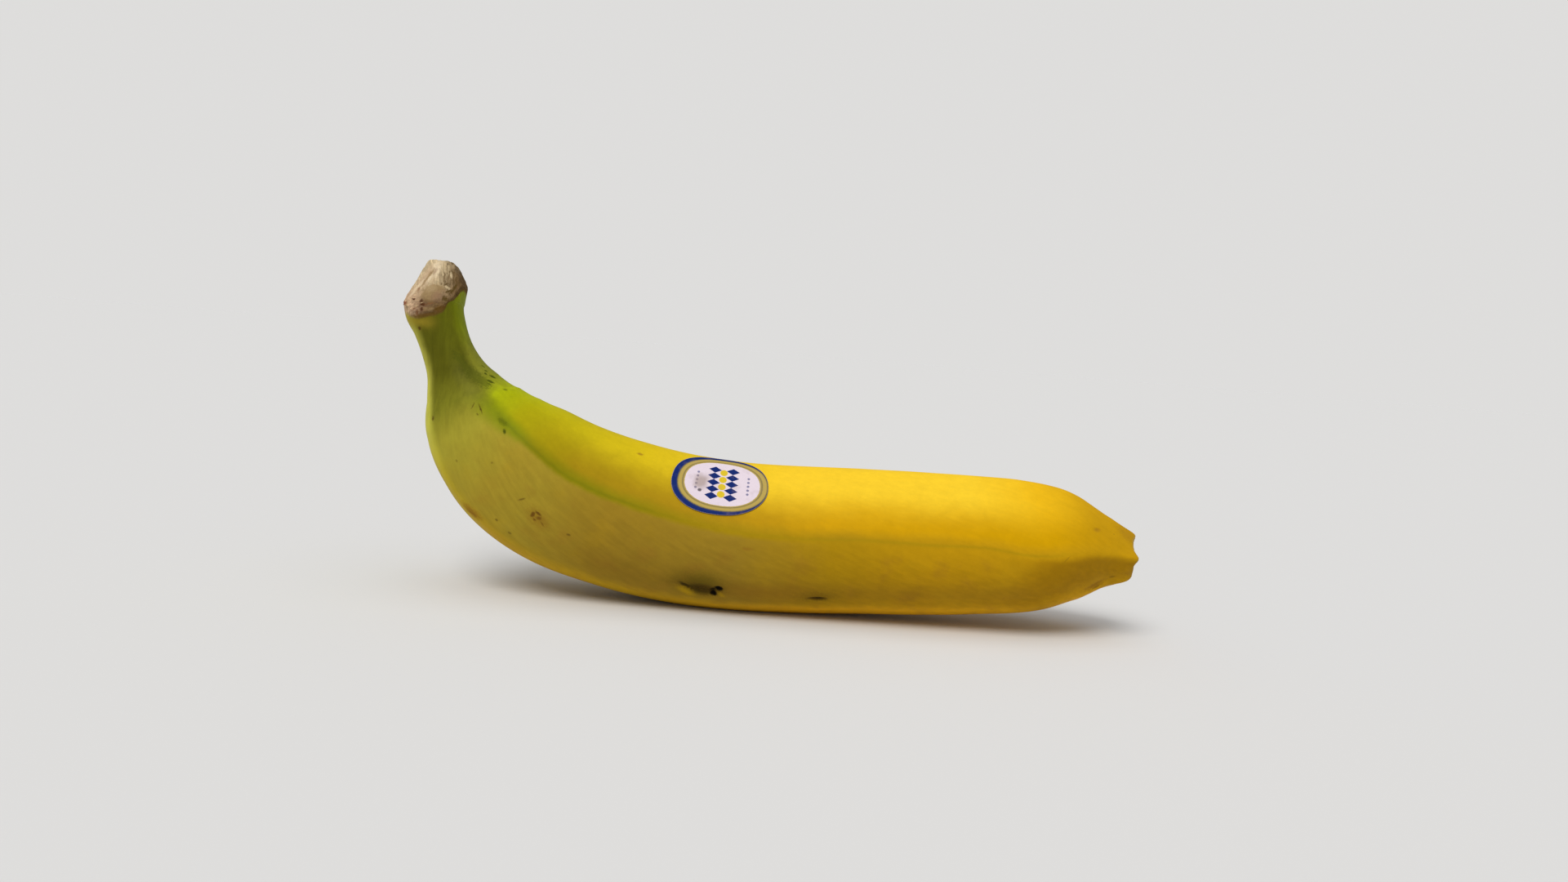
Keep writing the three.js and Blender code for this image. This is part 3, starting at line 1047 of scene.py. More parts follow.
@dataclass(frozen=True)
class PeelFinish:
    """The waxy peel: green at the neck, golden towards the tip, duller on its side faces. The dullness is
    partly painted shade, and the belly and the top of the upper face are partly painted light.
    """

    # Fades and stretches, in millimetres along the fruit.
    neck: Fade = (60.0, 42.0)
    stalk: Fade = (48.0, 36.0)
    body: Fade = (30.0, 60.0)  # where ripening is uneven
    side_body: Fade = (40.0, 60.0)  # where the side face is clouded and streaked
    tip: Fade = (188.0, 202.0)
    # Where the painted shadow above the lower ridge lies.
    shaded_span: Stretch = (72.0, 96.0, 184.0, 196.0)
    green_line: Stretch = (44.0, 52.0, 90.0, 112.0)
    late_line: Stretch = (100.0, 124.0, 188.0, 204.0)
    # From the side ridge up to the face just above it and to the upper face, and from the side
    # face up to the side ridge and down to the belly, across the lower ridge.
    above_edge: Edge = Edge(0.6, 4.2, 1.5)
    upper_edge: Edge = Edge(3.6, 17.0, 4.0)
    side_edge: Edge = Edge(-0.9, 0.5, 0.7)
    belly_edge: Edge = Edge(2.6, -2.8, 1.2)
    side_start: Pair = (-4.0, -0.9)  # its start's shift at the neck and at the tip
    belly_start: Pair = (-1.2, 3.4)  # where the painted shadow lies, and at the tip
    belly_end: float = 1.6  # its end's shift at the neck
    shadow: Triple = (4.5, 4.0, 0.4)  # painted shadow: its place above the lower ridge, width, strength
    line: Triple = (0.7, 0.4, 0.5)  # above the side ridge, width, wander
    drift: Pair = (8.0, 6.0)  # millimetres by which patches ripen earlier or later
    drift_size: Pair = (24.0, 6.0)  # how large those patches are
    cloud_size: float = 8.0
    side_clear: Fade = (-1.0, -4.0)  # millimetres from the side ridge at which its clouds begin
    mottle: float = 0.26
    streak_length: float = 7.0
    streak_width: float = 1.1
    streak_slant: float = 24.0  # degrees off the fruit's run
    # How deep the streaks are all over, and how much deeper on the side face and on the stalk.
    streak_depth: Triple = (0.05, 0.08, 0.16)
    roughness: float = 0.46

    def ripened_with_painted_light(self, board: ShaderBoard, arc: Wire, uneven: Wire, fine: Wire) -> Wire:
        """Writes the peel's colours: one run of them on each face, run into each other, with their painted
        light and shade and a band of painted shadow.

        Args:
            board: the material's board.
            arc: millimetres along the fruit, with uneven ripening in it.
            uneven: noise around 0, for the faces' soft edges.
            fine: finer noise around 0, for the ridge.

        Returns:
            The colour.
        """
        side, low = board.number("side_mm"), board.number("low_mm")
        faces = (UPPER_FACE, ABOVE_RIDGE, RIDGE, SIDE_FACE, BELLY)
        upper, above, ridge, front, belly = (along_fruit(board, arc, stops) for stops in faces)
        at_neck, at_tip = board.smooth(arc, *self.neck), board.smooth(arc, *self.tip)
        shaded_span = stretch(board, arc, self.shaded_span)

        colour = board.mix(self.above_edge.passed(board, side, uneven), ridge, above)
        colour = board.mix(self.upper_edge.passed(board, side, uneven), colour, upper)
        start = at_neck * self.side_start[0] + at_tip * self.side_start[1]
        colour = board.mix(self.side_edge.passed(board, side, fine, start), front, colour)
        # A band of painted shadow above the lower ridge, on the stretch where it lies.
        away, width, strength = self.shadow
        colour = board.mix(board.bell(low - away, width) * shaded_span * strength, colour, Paint.SHADOW.light)
        start = shaded_span * self.belly_start[0] + at_tip * self.belly_start[1]
        under = self.belly_edge.passed(board, low, uneven, start, at_neck * self.belly_end)
        return board.mix(under, colour, belly)

    def coat(self, board: ShaderBoard, effects: Effects, flow: Wire) -> Coat:
        """Writes the peel's look.

        Args:
            board: the material's board.
            effects: the shared groups.
            flow: the point in the straightened fruit.

        Returns:
            The peel's colour, roughness and height.
        """
        arc, across, up = board.split(flow)
        side = board.number("side_mm")
        drift, uneven = (board.waver(flow, size, 2.0, 0.5) for size in self.drift_size)
        shift = (drift * self.drift[0] + uneven * self.drift[1]) * board.smooth(arc, *self.body)
        fine = board.waver(flow, 2.0)
        colour = self.ripened_with_painted_light(board, arc + shift, uneven, fine)

        above, width, wander = self.line
        line = board.bell(side - above + fine * wander, width)
        cloud = board.noise(flow, self.cloud_size, 4.0, 0.6)
        on_side = board.smooth(side, *self.side_clear) * board.smooth(arc, *self.side_body)
        tints = (
            (line * stretch(board, arc, self.green_line), 0.25, Paint.SAGE),
            (line * stretch(board, arc, self.late_line), 0.45, Paint.OCHRE),
            (board.smooth(cloud, 0.5, 0.72) * on_side, 0.3, Paint.RUSSET),
            (board.smooth(cloud, 0.48, 0.28) * on_side, 0.16, Paint.STRAW),
        )
        for mask, strength, paint in tints:
            colour = board.mix(mask * strength, colour, paint.light)

        turn = math.radians(self.streak_slant)
        lie, rise = math.cos(turn), math.sin(turn)
        skewed = board.join(arc * lie - up * rise, across, arc * rise + up * lie)
        long, wide = self.streak_length, self.streak_width
        streak = board.use(effects.streaks, Vector=skewed, Length=long, Width=wide)[0]
        everywhere, sides, stalk = self.streak_depth
        depth = everywhere + on_side * sides + board.smooth(arc, *self.stalk) * stalk
        colour = board.shaded(colour, 1.0 + (streak - 0.5) * depth)
        grain = {"Vector": flow, "Coarse": 2.8, "Fine": 0.8, "Strength": self.mottle}
        colour, height = board.use(effects.grain, Colour=colour, **grain)
        specks = board.use(effects.freckles, Vector=flow, Spacing=7.0, Size=0.35, Share=0.14)[0]
        colour = board.mix(specks * 0.3, colour, Tone.SCUFF.light)
        roughness = self.roughness + specks * 0.1 + (height - 0.5) * 0.14
        return Coat(colour, roughness, height * 0.3 + streak * 0.2)


@dataclass(frozen=True)
class Patch:
    """One patch of paint on the stalk's cut end, by its place as seen from the fruit's front side."""

    paint: Paint
    x: float  # millimetres right of the cut's middle
    z: float  # millimetres above it
    wide: float  # half its width
    high: float  # half its height
    turn: float = 0.0  # degrees that its top leans to the left
    soft: float = 0.55
    strength: float = 0.8

    def ways(self) -> tuple[Array, Array, Array]:
        """Gives the vectors that measure a point of the cut against the patch.

        Returns:
            Its middle, and its two ways, each divided by half its size.
        """
        t = math.radians(self.turn)
        along = np.array([math.cos(t), 0.0, math.sin(t)]) / self.wide
        across = np.array([-math.sin(t), 0.0, math.cos(t)]) / self.high
        return np.array([self.x, 0.0, self.z]), along, across


CUT_PATCHES = (
    # The paler left side and the pale top, partly painted light, the mauve hollow below, and the right
    # side in painted shade.
    Patch(Paint.SHELL, -4.2, 1.4, 2.2, 3.6, -35, 0.8, 0.5),
    Patch(Paint.SHELL, -3.4, 4.6, 1.2, 3.0, -30, 0.7, 0.7),
    Patch(Paint.ROSE, -3.4, -4.4, 2.2, 1.5, 10, 0.7, 0.4),
    Patch(Paint.CORK, 5.2, 3.0, 1.4, 3.4, 8, 0.6, 0.4),
    Patch(Paint.IVORY, -1.9, 6.2, 1.1, 1.6, 0, 0.7, 0.85),
    Patch(Paint.IVORY, -1.5, 4.6, 0.5, 1.4, 6, 0.6, 0.75),
    Patch(Paint.IVORY, -2.9, 3.2, 0.7, 1.2, -20, 0.6, 0.75),
    Patch(Paint.CREAM, -2.6, 1.5, 0.35, 0.8, -8, 0.6, 0.6),
    # The left edge: a pale rim and two tan furrows inside it.
    Patch(Paint.IVORY, -5.4, 1.0, 0.3, 2.6, -33, 0.8, 0.6),
    Patch(Paint.HUSK, -3.2, 3.9, 0.42, 1.7, -24, 0.6, 0.8),
    Patch(Paint.HUSK, -4.3, 1.6, 0.25, 1.0, -30, 0.7, 0.5),
    Patch(Paint.ROSE, -2.0, 4.9, 0.4, 0.9, -10, 0.6, 0.5),
    # The smooth oval scar, its lower right half rosy.
    Patch(Paint.STONE, -1.1, -0.5, 2.9, 2.1, 12, 0.3, 0.9),
    Patch(Paint.ROSE, 0.4, -1.5, 1.5, 1.2, 10, 0.9, 0.55),
    Patch(Paint.CHAFF, -1.9, 0.4, 1.0, 0.8, 0, 0.8, 0.5),
    # Pale and dark fibres of the upper right.
    Patch(Paint.CREAM, 0.2, 5.5, 0.2, 0.8, 20, 0.6, 0.7),
    Patch(Paint.CREAM, 1.2, 5.9, 0.18, 0.7, 15, 0.6, 0.7),
    Patch(Paint.CREAM, 0.1, 4.3, 0.2, 0.9, 35, 0.6, 0.6),
    Patch(Paint.CREAM, 2.5, 3.8, 0.25, 0.8, 22, 0.6, 0.8),
    Patch(Paint.CREAM, 4.2, 4.9, 0.22, 0.7, 12, 0.6, 0.6),
    Patch(Paint.CREAM, 2.3, 0.7, 0.9, 0.3, -30, 0.6, 0.6),
    Patch(Paint.CORK, 0.8, 3.1, 0.22, 1.3, 12, 0.6, 0.7),
    Patch(Paint.CORK, 1.9, 3.0, 0.2, 1.2, 8, 0.6, 0.6),
    Patch(Paint.CORK, 3.1, 3.9, 0.25, 1.2, 12, 0.6, 0.7),
    Patch(Paint.RUST, 4.9, 5.4, 0.7, 0.9, 30, 0.7, 0.6),
    Patch(Paint.CHAFF, 6.6, 2.4, 0.25, 1.8, 14, 0.5, 0.7),
    Patch(Paint.DRIED, 6.3, 1.1, 0.4, 0.9, -8, 0.5, 0.85),
    # Dark flecks right of the scar.
    Patch(Paint.DRIED, 4.3, 0.8, 0.34, 0.75, -15, 0.5, 0.95),
    Patch(Paint.DRIED, 3.8, -0.4, 0.36, 0.65, -35, 0.5, 0.95),
    Patch(Paint.DRIED, 3.1, -0.2, 0.26, 0.5, -35, 0.5, 0.9),
    Patch(Paint.DRIED, 2.5, -0.5, 0.24, 0.45, -30, 0.5, 0.85),
    Patch(Paint.DRIED, 1.6, 1.5, 0.5, 0.28, 20, 0.5, 0.7),
    Patch(Paint.DRIED, 0.5, 1.6, 0.25, 0.4, 0, 0.5, 0.6),
    Patch(Paint.DRIED, 2.0, -2.0, 0.3, 0.6, -10, 0.5, 0.9),
    Patch(Paint.DRIED, 2.7, -2.3, 0.5, 0.55, 30, 0.5, 0.95),
    Patch(Paint.DRIED, 3.4, -2.7, 0.35, 0.3, 0, 0.5, 0.9),
    # Knots and pale crumbs of the lower crust.
    Patch(Paint.UMBER, -5.6, -2.2, 0.42, 0.38, 0, 0.5, 0.95),
    Patch(Paint.RUST, -5.1, 0.2, 0.3, 0.55, -10, 0.6, 0.6),
    Patch(Paint.UMBER, -3.5, -2.7, 0.35, 0.42, -30, 0.5, 0.85),
    Patch(Paint.UMBER, -3.0, -3.6, 0.55, 0.36, 0, 0.45, 0.95),
    Patch(Paint.UMBER, -2.8, -4.8, 0.4, 0.4, 0, 0.5, 0.9),
    Patch(Paint.RUST, -3.9, -5.8, 0.35, 0.6, -10, 0.6, 0.75),
    Patch(Paint.RUST, -1.3, -3.4, 1.2, 0.22, 5, 0.6, 0.6),
    Patch(Paint.RUST, -4.8, -4.8, 0.8, 0.25, 30, 0.6, 0.5),
    Patch(Paint.CHAFF, -3.3, -3.1, 0.28, 0.18, 20, 0.5, 0.8),
    Patch(Paint.CHAFF, -7.2, -4.4, 0.4, 1.4, 0, 0.6, 0.85),
    Patch(Paint.STONE, -1.9, -4.6, 0.6, 0.3, 0, 0.6, 0.7),
    Patch(Paint.STONE, -0.4, -5.0, 0.8, 0.4, 10, 0.6, 0.6),
    Patch(Paint.CHAFF, -4.4, -4.0, 0.4, 0.22, 0, 0.6, 0.6),
    Patch(Paint.CRUST, 1.6, -4.7, 1.4, 0.6, 28, 0.6, 0.9),
    Patch(Paint.CRUST, -2.6, -6.4, 2.4, 0.4, 4, 0.7, 0.7),
    Patch(Paint.DRIED, 0.1, -5.8, 0.5, 0.36, 0, 0.5, 0.9),
    Patch(Paint.FLAP, -8.2, -3.2, 0.8, 0.5, -15, 0.5, 0.9),
)


@dataclass(frozen=True)
class CutStalkFinish:
    """The dried cut end of the stalk: pale fibres above, mauve crust below, an oval scar between.

    Its fades are in millimetres right of the cut's middle, or above it. Its left side and top are painted
    lighter and its right side darker: painted light and shade.
    """

    fibre_length: float = 2.6
    fibre_width: float = 0.4
    slant: float = 0.3  # how far the fibres run to the right for each millimetre down
    lump_size: float = 1.6
    crumb_size: float = 0.7
    upper_shade: Fade = (-3.2, 5.0)  # painted light and shade: from the pale left to the dark right
    # The crust's painted light and shade, from its pale left to its dark right.
    crust_shade: Fade = (-6.4, -2.2)
    crust_top: Fade = (0.0, -3.0)
    crust_tilt: float = 0.25  # how far the crust's top rises to the left for each millimetre
    dark_fibres: Fade = (-2.5, 3.0)
    uneven: float = 3.0  # millimetres by which the lumps move the shades
    patch_wobble: float = 2.8
    scar: Patch = Patch(Paint.STONE, -1.1, -0.5, 2.9, 2.1, 12, 0.4)

    def coat(self, board: ShaderBoard, effects: Effects, flow: Wire) -> Coat:
        """Writes the cut end's look.

        Args:
            board: the material's board.
            effects: the shared groups.
            flow: the point in the straightened fruit.

        Returns:
            The cut end's colour, roughness and height.
        """
        place = board.vector("cut_place")
        x, y, z = board.split(place)
        lumps = board.waver(flow, self.lump_size)
        crumbs = board.waver(flow, self.crumb_size, 3.0, 0.65)
        lie = x + z * self.slant + lumps * 1.2
        drawn_out = board.join(lie / self.fibre_width, y / self.fibre_length, z / self.fibre_length)
        fibre = board.smooth(board.noise(drawn_out, 1.0, 3.0, 0.6), 0.3, 0.7)

        right = x + lumps * self.uneven
        # Painted light on the left and painted shade on the right, on the fibres and on the crust.
        upper = board.mix(board.smooth(right, *self.upper_shade), Paint.CREAM.light, Paint.CORK.light)
        crust = board.mix(board.smooth(right, *self.crust_shade), Paint.SHELL.light, Paint.CORK.light)
        lower = board.smooth(z + x * self.crust_tilt + lumps * 2.0, *self.crust_top)
        shade = 1.0 + board.between(lower, (fibre - 0.55) * 0.6, crumbs * 2.0)
        colour = board.shaded(board.mix(lower, upper, crust), shade)
        dark = board.smooth(fibre, 0.35, 0.05) * board.smooth(x, *self.dark_fibres) * (1.0 - lower)
        colour = board.mix(dark * 0.75, colour, Paint.DRIED.light)
        for patch in CUT_PATCHES:
            middle, along, across = patch.ways()
            colour = board.use(
                effects.patch, Place=place, Middle=middle, Along=along, Across=across, Soft=patch.soft,
                Wobble=crumbs * self.patch_wobble, Strength=patch.strength, Under=colour,
                Paint=patch.paint.light,
            )[0]
        grain = {"Vector": flow, "Coarse": 0.9, "Fine": 0.35, "Strength": 0.55}
        colour = board.use(effects.grain, Colour=colour, **grain)[0]
        inside = oval_mask(board, place, self.scar.ways(), self.scar.soft, 0.0)
        height = fibre * board.between(lower, 0.8, 0.3) + (lumps + 0.5) * 0.8
        return Coat(colour, board.between(inside, 0.8, 0.6), height * (1.0 - inside * 0.8))


@dataclass(frozen=True)
class BlossomEndFinish:
    """The tip where the flower fell off: a dry brown rim around a nearly black scar."""

    depth: float = 6.0  # millimetres from the rim to the scar's middle
    # Its colours by the share of that way.
    rings: Stops = ((0.0, Paint.RIM), (0.18, Paint.RIM), (0.42, Paint.DRY), (0.8, Paint.BLACK))
    roughness: Fade = (0.85, 0.9)

    def coat(self, board: ShaderBoard, effects: Effects, flow: Wire, inward: Wire) -> Coat:
        """Writes the tip's look.

        Args:
            board: the material's board.
            effects: the shared groups.
            flow: the point in the straightened fruit.
            inward: how far inside the rim the point is, in millimetres.

        Returns:
            The tip's colour, roughness and height.
        """
        crumbs = board.noise(flow, 0.9, 3.0, 0.65)
        reach = (inward + (crumbs - 0.5) * 1.6) / self.depth
        colour = board.ramp(reach, [(place, paint.light) for place, paint in self.rings])
        grain = {"Vector": flow, "Coarse": 1.2, "Fine": 0.4, "Strength": 0.5}
        colour = board.use(effects.grain, Colour=colour, **grain)[0]
        return Coat(colour, board.between(crumbs, *self.roughness), crumbs)


@dataclass(frozen=True)
class Fringe:
    """A line of colour beside the cut's rim."""

    paint: Paint
    at: float  # millimetres inside the rim
    width: float
    side: Fade  # 1 is the bend's inner side, -1 its outer side
    strength: float

    def share(self, board: Board, inside: Wire, inner: Wire) -> Wire:
        """Gives how strong it is at a point so far inside the rim, on that side of the stalk."""
        return board.bell(inside - self.at, self.width) * board.smooth(inner, *self.side) * self.strength


@dataclass(frozen=True)
class SkinFinish:
    """The fruit's one material: the peel, the cut stalk and the blossom end, run into each other.

    Its fades are in millimetres inside the cut's rim or the scar's rim.
    """

    peel: PeelFinish = PeelFinish()
    stalk: CutStalkFinish = CutStalkFinish()
    tip: BlossomEndFinish = BlossomEndFinish()
    on_cut: Fade = (-0.6, 0.5)
    on_scar: Fade = (-0.1, 0.5)
    rim_wander: float = 1.2
    yellowed: Fringe = Fringe(Paint.DULL_YELLOW, -1.2, 1.6, (0.5, -0.3), 0.6)
    dried: Fringe = Fringe(Paint.CRUST, 0.1, 0.4, (-1.0, -0.2), 0.7)
    scar_rim_and_highlight: Triple = (-0.15, 0.35, 0.6)  # a pale dry line with painted highlight beside the scar's rim: its place, width and strength
    crust_reach: float = 1.3  # how far the cut's crust reaches down the front of the stalk
    crust_tongue: float = 1.5  # and how much further beside the bend's inner side
    tongue_place: Pair = (0.86, 0.16)  # its middle, 1 is the inner side, and width
    mark_wobble: float = 2.8
    mark_roughness: float = 0.75
    bump: Pair = (0.6, 0.25)  # its strength, and its depth in millimetres
    gloss: float = 0.03

    @staticmethod
    def marks(board: ShaderBoard, effects: Effects, flow: Wire, wobble: Wire, tone: Tone) -> Wire:
        """Writes all marks of one tone.

        Args:
            board: the material's board.
            effects: the shared groups.
            flow: the point in the straightened fruit.
            wobble: noise that roughens the outlines.
            tone: which marks.

        Returns:
            Their mask.
        """
        total: Value = 0.0
        for mark in MARKS:
            if mark.tone is tone and mark.strength:
                along, across, outward = mark.ways()
                mask = board.use(
                    effects.blemish, Flow=flow, Middle=(mark.arc, 0, 0), Along=along, Across=across,
                    Outward=outward, Soft=mark.soft, Wobble=wobble * (mark.soft * mark.ragged),
                    Strength=mark.strength,
                )[0]
                total = board.math("MAXIMUM", total, mask)
        return board.math("ADD", total, 0.0, clamp=True)

    def coat(self, board: ShaderBoard, effects: Effects) -> Coat:
        """Writes the whole skin's look.

        Args:
            board: the material's board.
            effects: the shared groups.

        Returns:
            Its colour, roughness and height.
        """
        flow = board.vector("flow")
        cut, scar = board.number("cut_mm"), board.number("scar_mm")
        _, across, up = board.split(flow)
        _, _, inner = board.split(board.vectors("NORMALIZE", board.join(0.0, across, up)))
        wander = board.waver(flow, 1.6) * self.rim_wander
        crust = cut + wander + board.smooth(inner, 0.97, 0.5) * self.crust_reach
        middle, width = self.tongue_place
        crust = crust + board.bell(inner - middle, width) * self.crust_tongue
        peel = self.peel.coat(board, effects, flow)
        stalk = self.stalk.coat(board, effects, flow)
        tip = self.tip.coat(board, effects, flow, scar)

        on_cut = board.smooth(crust, *self.on_cut)
        on_scar = board.smooth(scar + wander * 0.5, *self.on_scar)
        place, width, strength = self.scar_rim_and_highlight
        layers = (
            (self.yellowed.share(board, crust, inner), self.yellowed.paint.light),
            # The pale line at the scar's rim, partly painted highlight.
            (board.bell(scar - place, width) * strength, Paint.DRY_RIM_AND_HIGHLIGHT.light),
            (on_cut, stalk.colour),
            (self.dried.share(board, crust, inner), self.dried.paint.light),
            (on_scar, tip.colour),
        )
        colour = peel.colour
        for share, layer in layers:
            colour = board.mix(share, colour, layer)
        roughness = board.between(on_cut, peel.roughness, stalk.roughness)
        roughness = board.between(on_scar, roughness, tip.roughness)
        height = board.between(on_cut, peel.height * 0.25, stalk.height)
        height = board.between(on_scar, height, tip.height)

        wobble = board.waver(flow, 0.5, 3.0, 0.65) * self.mark_wobble
        worn: Value = 0.0
        for tone in Tone:
            mask = self.marks(board, effects, flow, wobble, tone)
            colour = board.mix(mask, colour, tone.light)
            worn = board.math("MAXIMUM", worn, mask)
        return Coat(colour, board.between(worn, roughness, self.mark_roughness), height)

    def material(self, effects: Effects) -> bpy.types.Material:
        """Builds the material, with the shared groups."""
        return make_material("banana_skin", lambda board: self.coat(board, effects), self.bump, self.gloss)


STICKER_FULLNESS = 2.3  # 2 is a true ellipse
FAR_AWAY = 50.0  # motifs: rows are counted from so far off that the count is never below 0


class Ink(Pigment):
    """The sticker's paper, its print and the dirt on it, in daylight."""

    PAPER = "e4d6e1"
    BLUE = "04246c"
    YELLOW = "b9a152"
    SUNNY = "dcc02a"
    LINE = "6f6646"
    PALE = "8b87a4"
    GRIME = "a18c80"
    SOOT = "3c343c"


@dataclass(frozen=True)
class Row:
    """One row of round or diamond-shaped motifs across the sticker."""

    x: float  # millimetres from the field's middle
    long: float  # half a motif's size along the fruit
    wide: float  # half its size around the fruit
    pitch: float  # from motif to motif
    count: int
    round: bool
    ink: Ink

    def mask(self, board: ShaderBoard, x: Wire, y: Wire) -> Wire:
        """Writes the row's mask.

        Args:
            board: the material's board.
            x: millimetres along the fruit from the field's middle.
            y: millimetres around the fruit from it.

        Returns:
            The mask.
        """
        step = 0.5 if self.count % 2 else 0.0
        beat = board.math("FRACT", y / self.pitch + (FAR_AWAY + step)) - 0.5
        a, b = (x - self.x) / self.long, beat * (self.pitch / self.wide)
        if self.round:
            reach = board.math("SQRT", a * a + b * b)
        else:
            reach = board.math("ABSOLUTE", a) + board.math("ABSOLUTE", b)
        end = self.count * self.pitch / 2
        return board.smooth(reach, 1.06, 0.94) * board.smooth(board.math("ABSOLUTE", y), end + 0.02, end)


@dataclass(frozen=True)
class Smudge:
    """A soft spot of dirt on the sticker, in millimetres."""

    ink: Ink
    middle: Pair
    half: Pair
    wander: float  # how far clouds move its edge
    edge: Fade
    strength: float


@dataclass(frozen=True)
class PaperFinish:
    """The sticker's satin paper: a blue band, a yellow ring, and rows of lozenges and dots."""

    field_shift: float = 0.8  # the inner oval lies nearer the sticker's far end
    band: Pair = (0.95, 1.0)  # millimetres of blue, at the ends and at the sides
    ring: float = 1.3  # millimetres of yellow
    ring_edge: Fade = (-0.05, 0.07)  # across its inner edge
    band_edge: Fade = (-0.06, 0.06)
    cut_edge: Fade = (0.12, 0.02)  # where the outer edge turns paler
    second_line: float = 0.72  # share of the ring at which its second hairline runs
    hairline: float = 0.14
    bleed: float = 0.16  # millimetres by which the ink's edges wander
    clouds: Fade = (0.52, 0.8)
    rows: tuple[Row, ...] = (
        Row(-2.2, 1.75, 1.05, 2.1, 5, False, Ink.BLUE),
        Row(2.6, 1.75, 1.05, 2.1, 5, False, Ink.BLUE),
        Row(0.2, 1.0, 1.0, 2.3, 4, True, Ink.SUNNY),
        Row(-6.6, 0.36, 0.36, 1.25, 5, True, Ink.PALE),
        Row(6.9, 0.36, 0.36, 1.25, 5, True, Ink.PALE),
    )
    smudges: tuple[Smudge, ...] = (
        Smudge(Ink.GRIME, (-4.7, -0.6), (2.0, 2.4), 2.0, (-0.9, 1.4), 0.7),
        Smudge(Ink.SOOT, (-4.6, -3.1), (0.6, 0.55), 0.8, (-0.1, 0.2), 0.85),
    )
    bump: Pair = (0.4, 0.12)  # its strength, and its depth in millimetres
    gloss: float = 0.08

    def oval(self, board: Board, x: Wire, y: Wire, half: Pair) -> Wire:
        """Gives about how far inside an oval a point is, in millimetres."""
        a, b = board.math("ABSOLUTE", x / half[0]), board.math("ABSOLUTE", y / half[1])
        total = board.math("POWER", a, STICKER_FULLNESS) + board.math("POWER", b, STICKER_FULLNESS)
        return (1.0 - board.math("POWER", total, 1 / STICKER_FULLNESS)) * half[1]

    def printed(self, board: ShaderBoard, place: Wire, size: Pair) -> Wire:
        """Writes the print.

        Args:
            board: the material's board.
            place: the point on the sticker, in millimetres.
            size: half the sticker's length and width.

        Returns:
            The colour.
        """
        x, y, _ = board.split(place)
        blot = board.waver(place, 0.4, 2.0, 0.5) * self.bleed
        inner = (size[0] - self.band[0], size[1] - self.band[1])
        outward = self.oval(board, x, y, size) + blot
        x = x - self.field_shift
        inward = self.oval(board, x, y, inner) + blot
        colour = board.mix(board.smooth(inward, *self.band_edge), Ink.BLUE.light, Ink.YELLOW.light)
        for at in (0.0, self.ring * self.second_line):
            colour = board.mix(board.bell(inward - at, self.hairline) * 0.8, colour, Ink.LINE.light)
        low, high = self.ring_edge
        field, edge = board.smooth(inward, self.ring + low, self.ring + high), self.cut_edge
        for share in (field, board.smooth(outward, *edge) * 0.35):
            colour = board.mix(share, colour, Ink.PAPER.light)
        for row in self.rows:
            colour = board.mix(row.mask(board, x, y + blot), colour, row.ink.light)
        return colour

    def coat(self, board: ShaderBoard, effects: Effects, size: Pair) -> Coat:
        """Writes the sticker's look.

        Args:
            board: the material's board.
            effects: the shared groups.
            size: half the sticker's length and width in millimetres.

        Returns:
            Its colour, roughness and height.
        """
        place = board.vector("print_mm")
        x, y, _ = board.split(place)
        cloud = board.noise(place, 3.2, 2.0)
        colour = self.printed(board, place, size)
        colour = board.mix(board.smooth(cloud, *self.clouds) * 0.22, colour, Ink.GRIME.light)
        for smudge in self.smudges:
            inside = self.oval(board, x - smudge.middle[0], y - smudge.middle[1], smudge.half)
            mask = board.smooth(inside + (cloud - 0.5) * smudge.wander, *smudge.edge)
            colour = board.mix(mask * smudge.strength, colour, smudge.ink.light)
        grain = {"Vector": place, "Coarse": 1.5, "Fine": 0.3, "Strength": 0.1}
        colour, fibres = board.use(effects.grain, Colour=colour, **grain)
        return Coat(colour, 0.42 + cloud * 0.15, cloud + fibres * 0.15)

    def material(self, effects: Effects, size: Pair) -> bpy.types.Material:
        """Builds the material, for a sticker of half this length and width."""
        return make_material(
            "sticker_paper", lambda board: self.coat(board, effects, size), self.bump, self.gloss
        )


# ---- Pieces ----


def new_mesh(name: str, points: Array, faces: Array) -> Piece:
    """Makes a mesh object at the origin, in the scene.

    Args:
        name: the object's name.
        points: its vertices in metres.
        faces: the vertex numbers of its faces, a list of rows.

    Returns:
        The object.
    """
    mesh = bpy.data.meshes.new(name)
    mesh.from_pydata(points.tolist(), [], faces)
    mesh.shade_smooth()
    made = bpy.data.objects.new(name, mesh)
    bpy.context.scene.collection.objects.link(made)
    return made


def carry(piece: Piece, name: str, values: Array) -> None:
    """Gives a mesh a number or a vector at each vertex, for its nodes to read."""
    vector = values.ndim == 2
    made = piece.data.attributes.new(name, "FLOAT_VECTOR" if vector else "FLOAT", "POINT")
    made.data.foreach_set("vector" if vector else "value", values.ravel())


def run_tree(piece: Piece, group: Group, values: dict[str, Any]) -> None:
    """Runs a Geometry Nodes tree on a piece once, and keeps its result as the piece's plain mesh.

    Args:
        piece: the object.
        group: the tree.
        values: the tree's inputs by name.
    """
    modifier = piece.modifiers.new(group.tree.name, "NODES")
    modifier.node_group = group.tree
    for name, value in values.items():
        modifier[group.sockets[name].identifier] = value
    graph = bpy.context.evaluated_depsgraph_get()
    made = bpy.data.meshes.new_from_object(
        piece.evaluated_get(graph), preserve_all_data_layers=True, depsgraph=graph
    )
    piece.modifiers.clear()
    piece.data = made
    made.name = piece.name


def keep_inside(piece: Piece, box: Sequence[Sequence[float]]) -> None:
    """Presses the few points that stand out of a box back to its sides.

    Args:
        piece: the object.
        box: the box's low and high corners, in metres.
    """
    points = np.empty(len(piece.data.vertices) * 3, dtype=np.float32)
    piece.data.vertices.foreach_get("co", points)
    low, high = (np.array(corner, dtype=np.float32) for corner in box)
    piece.data.vertices.foreach_set("co", np.clip(points.reshape(-1, 3), low, high).ravel())
    piece.data.update()


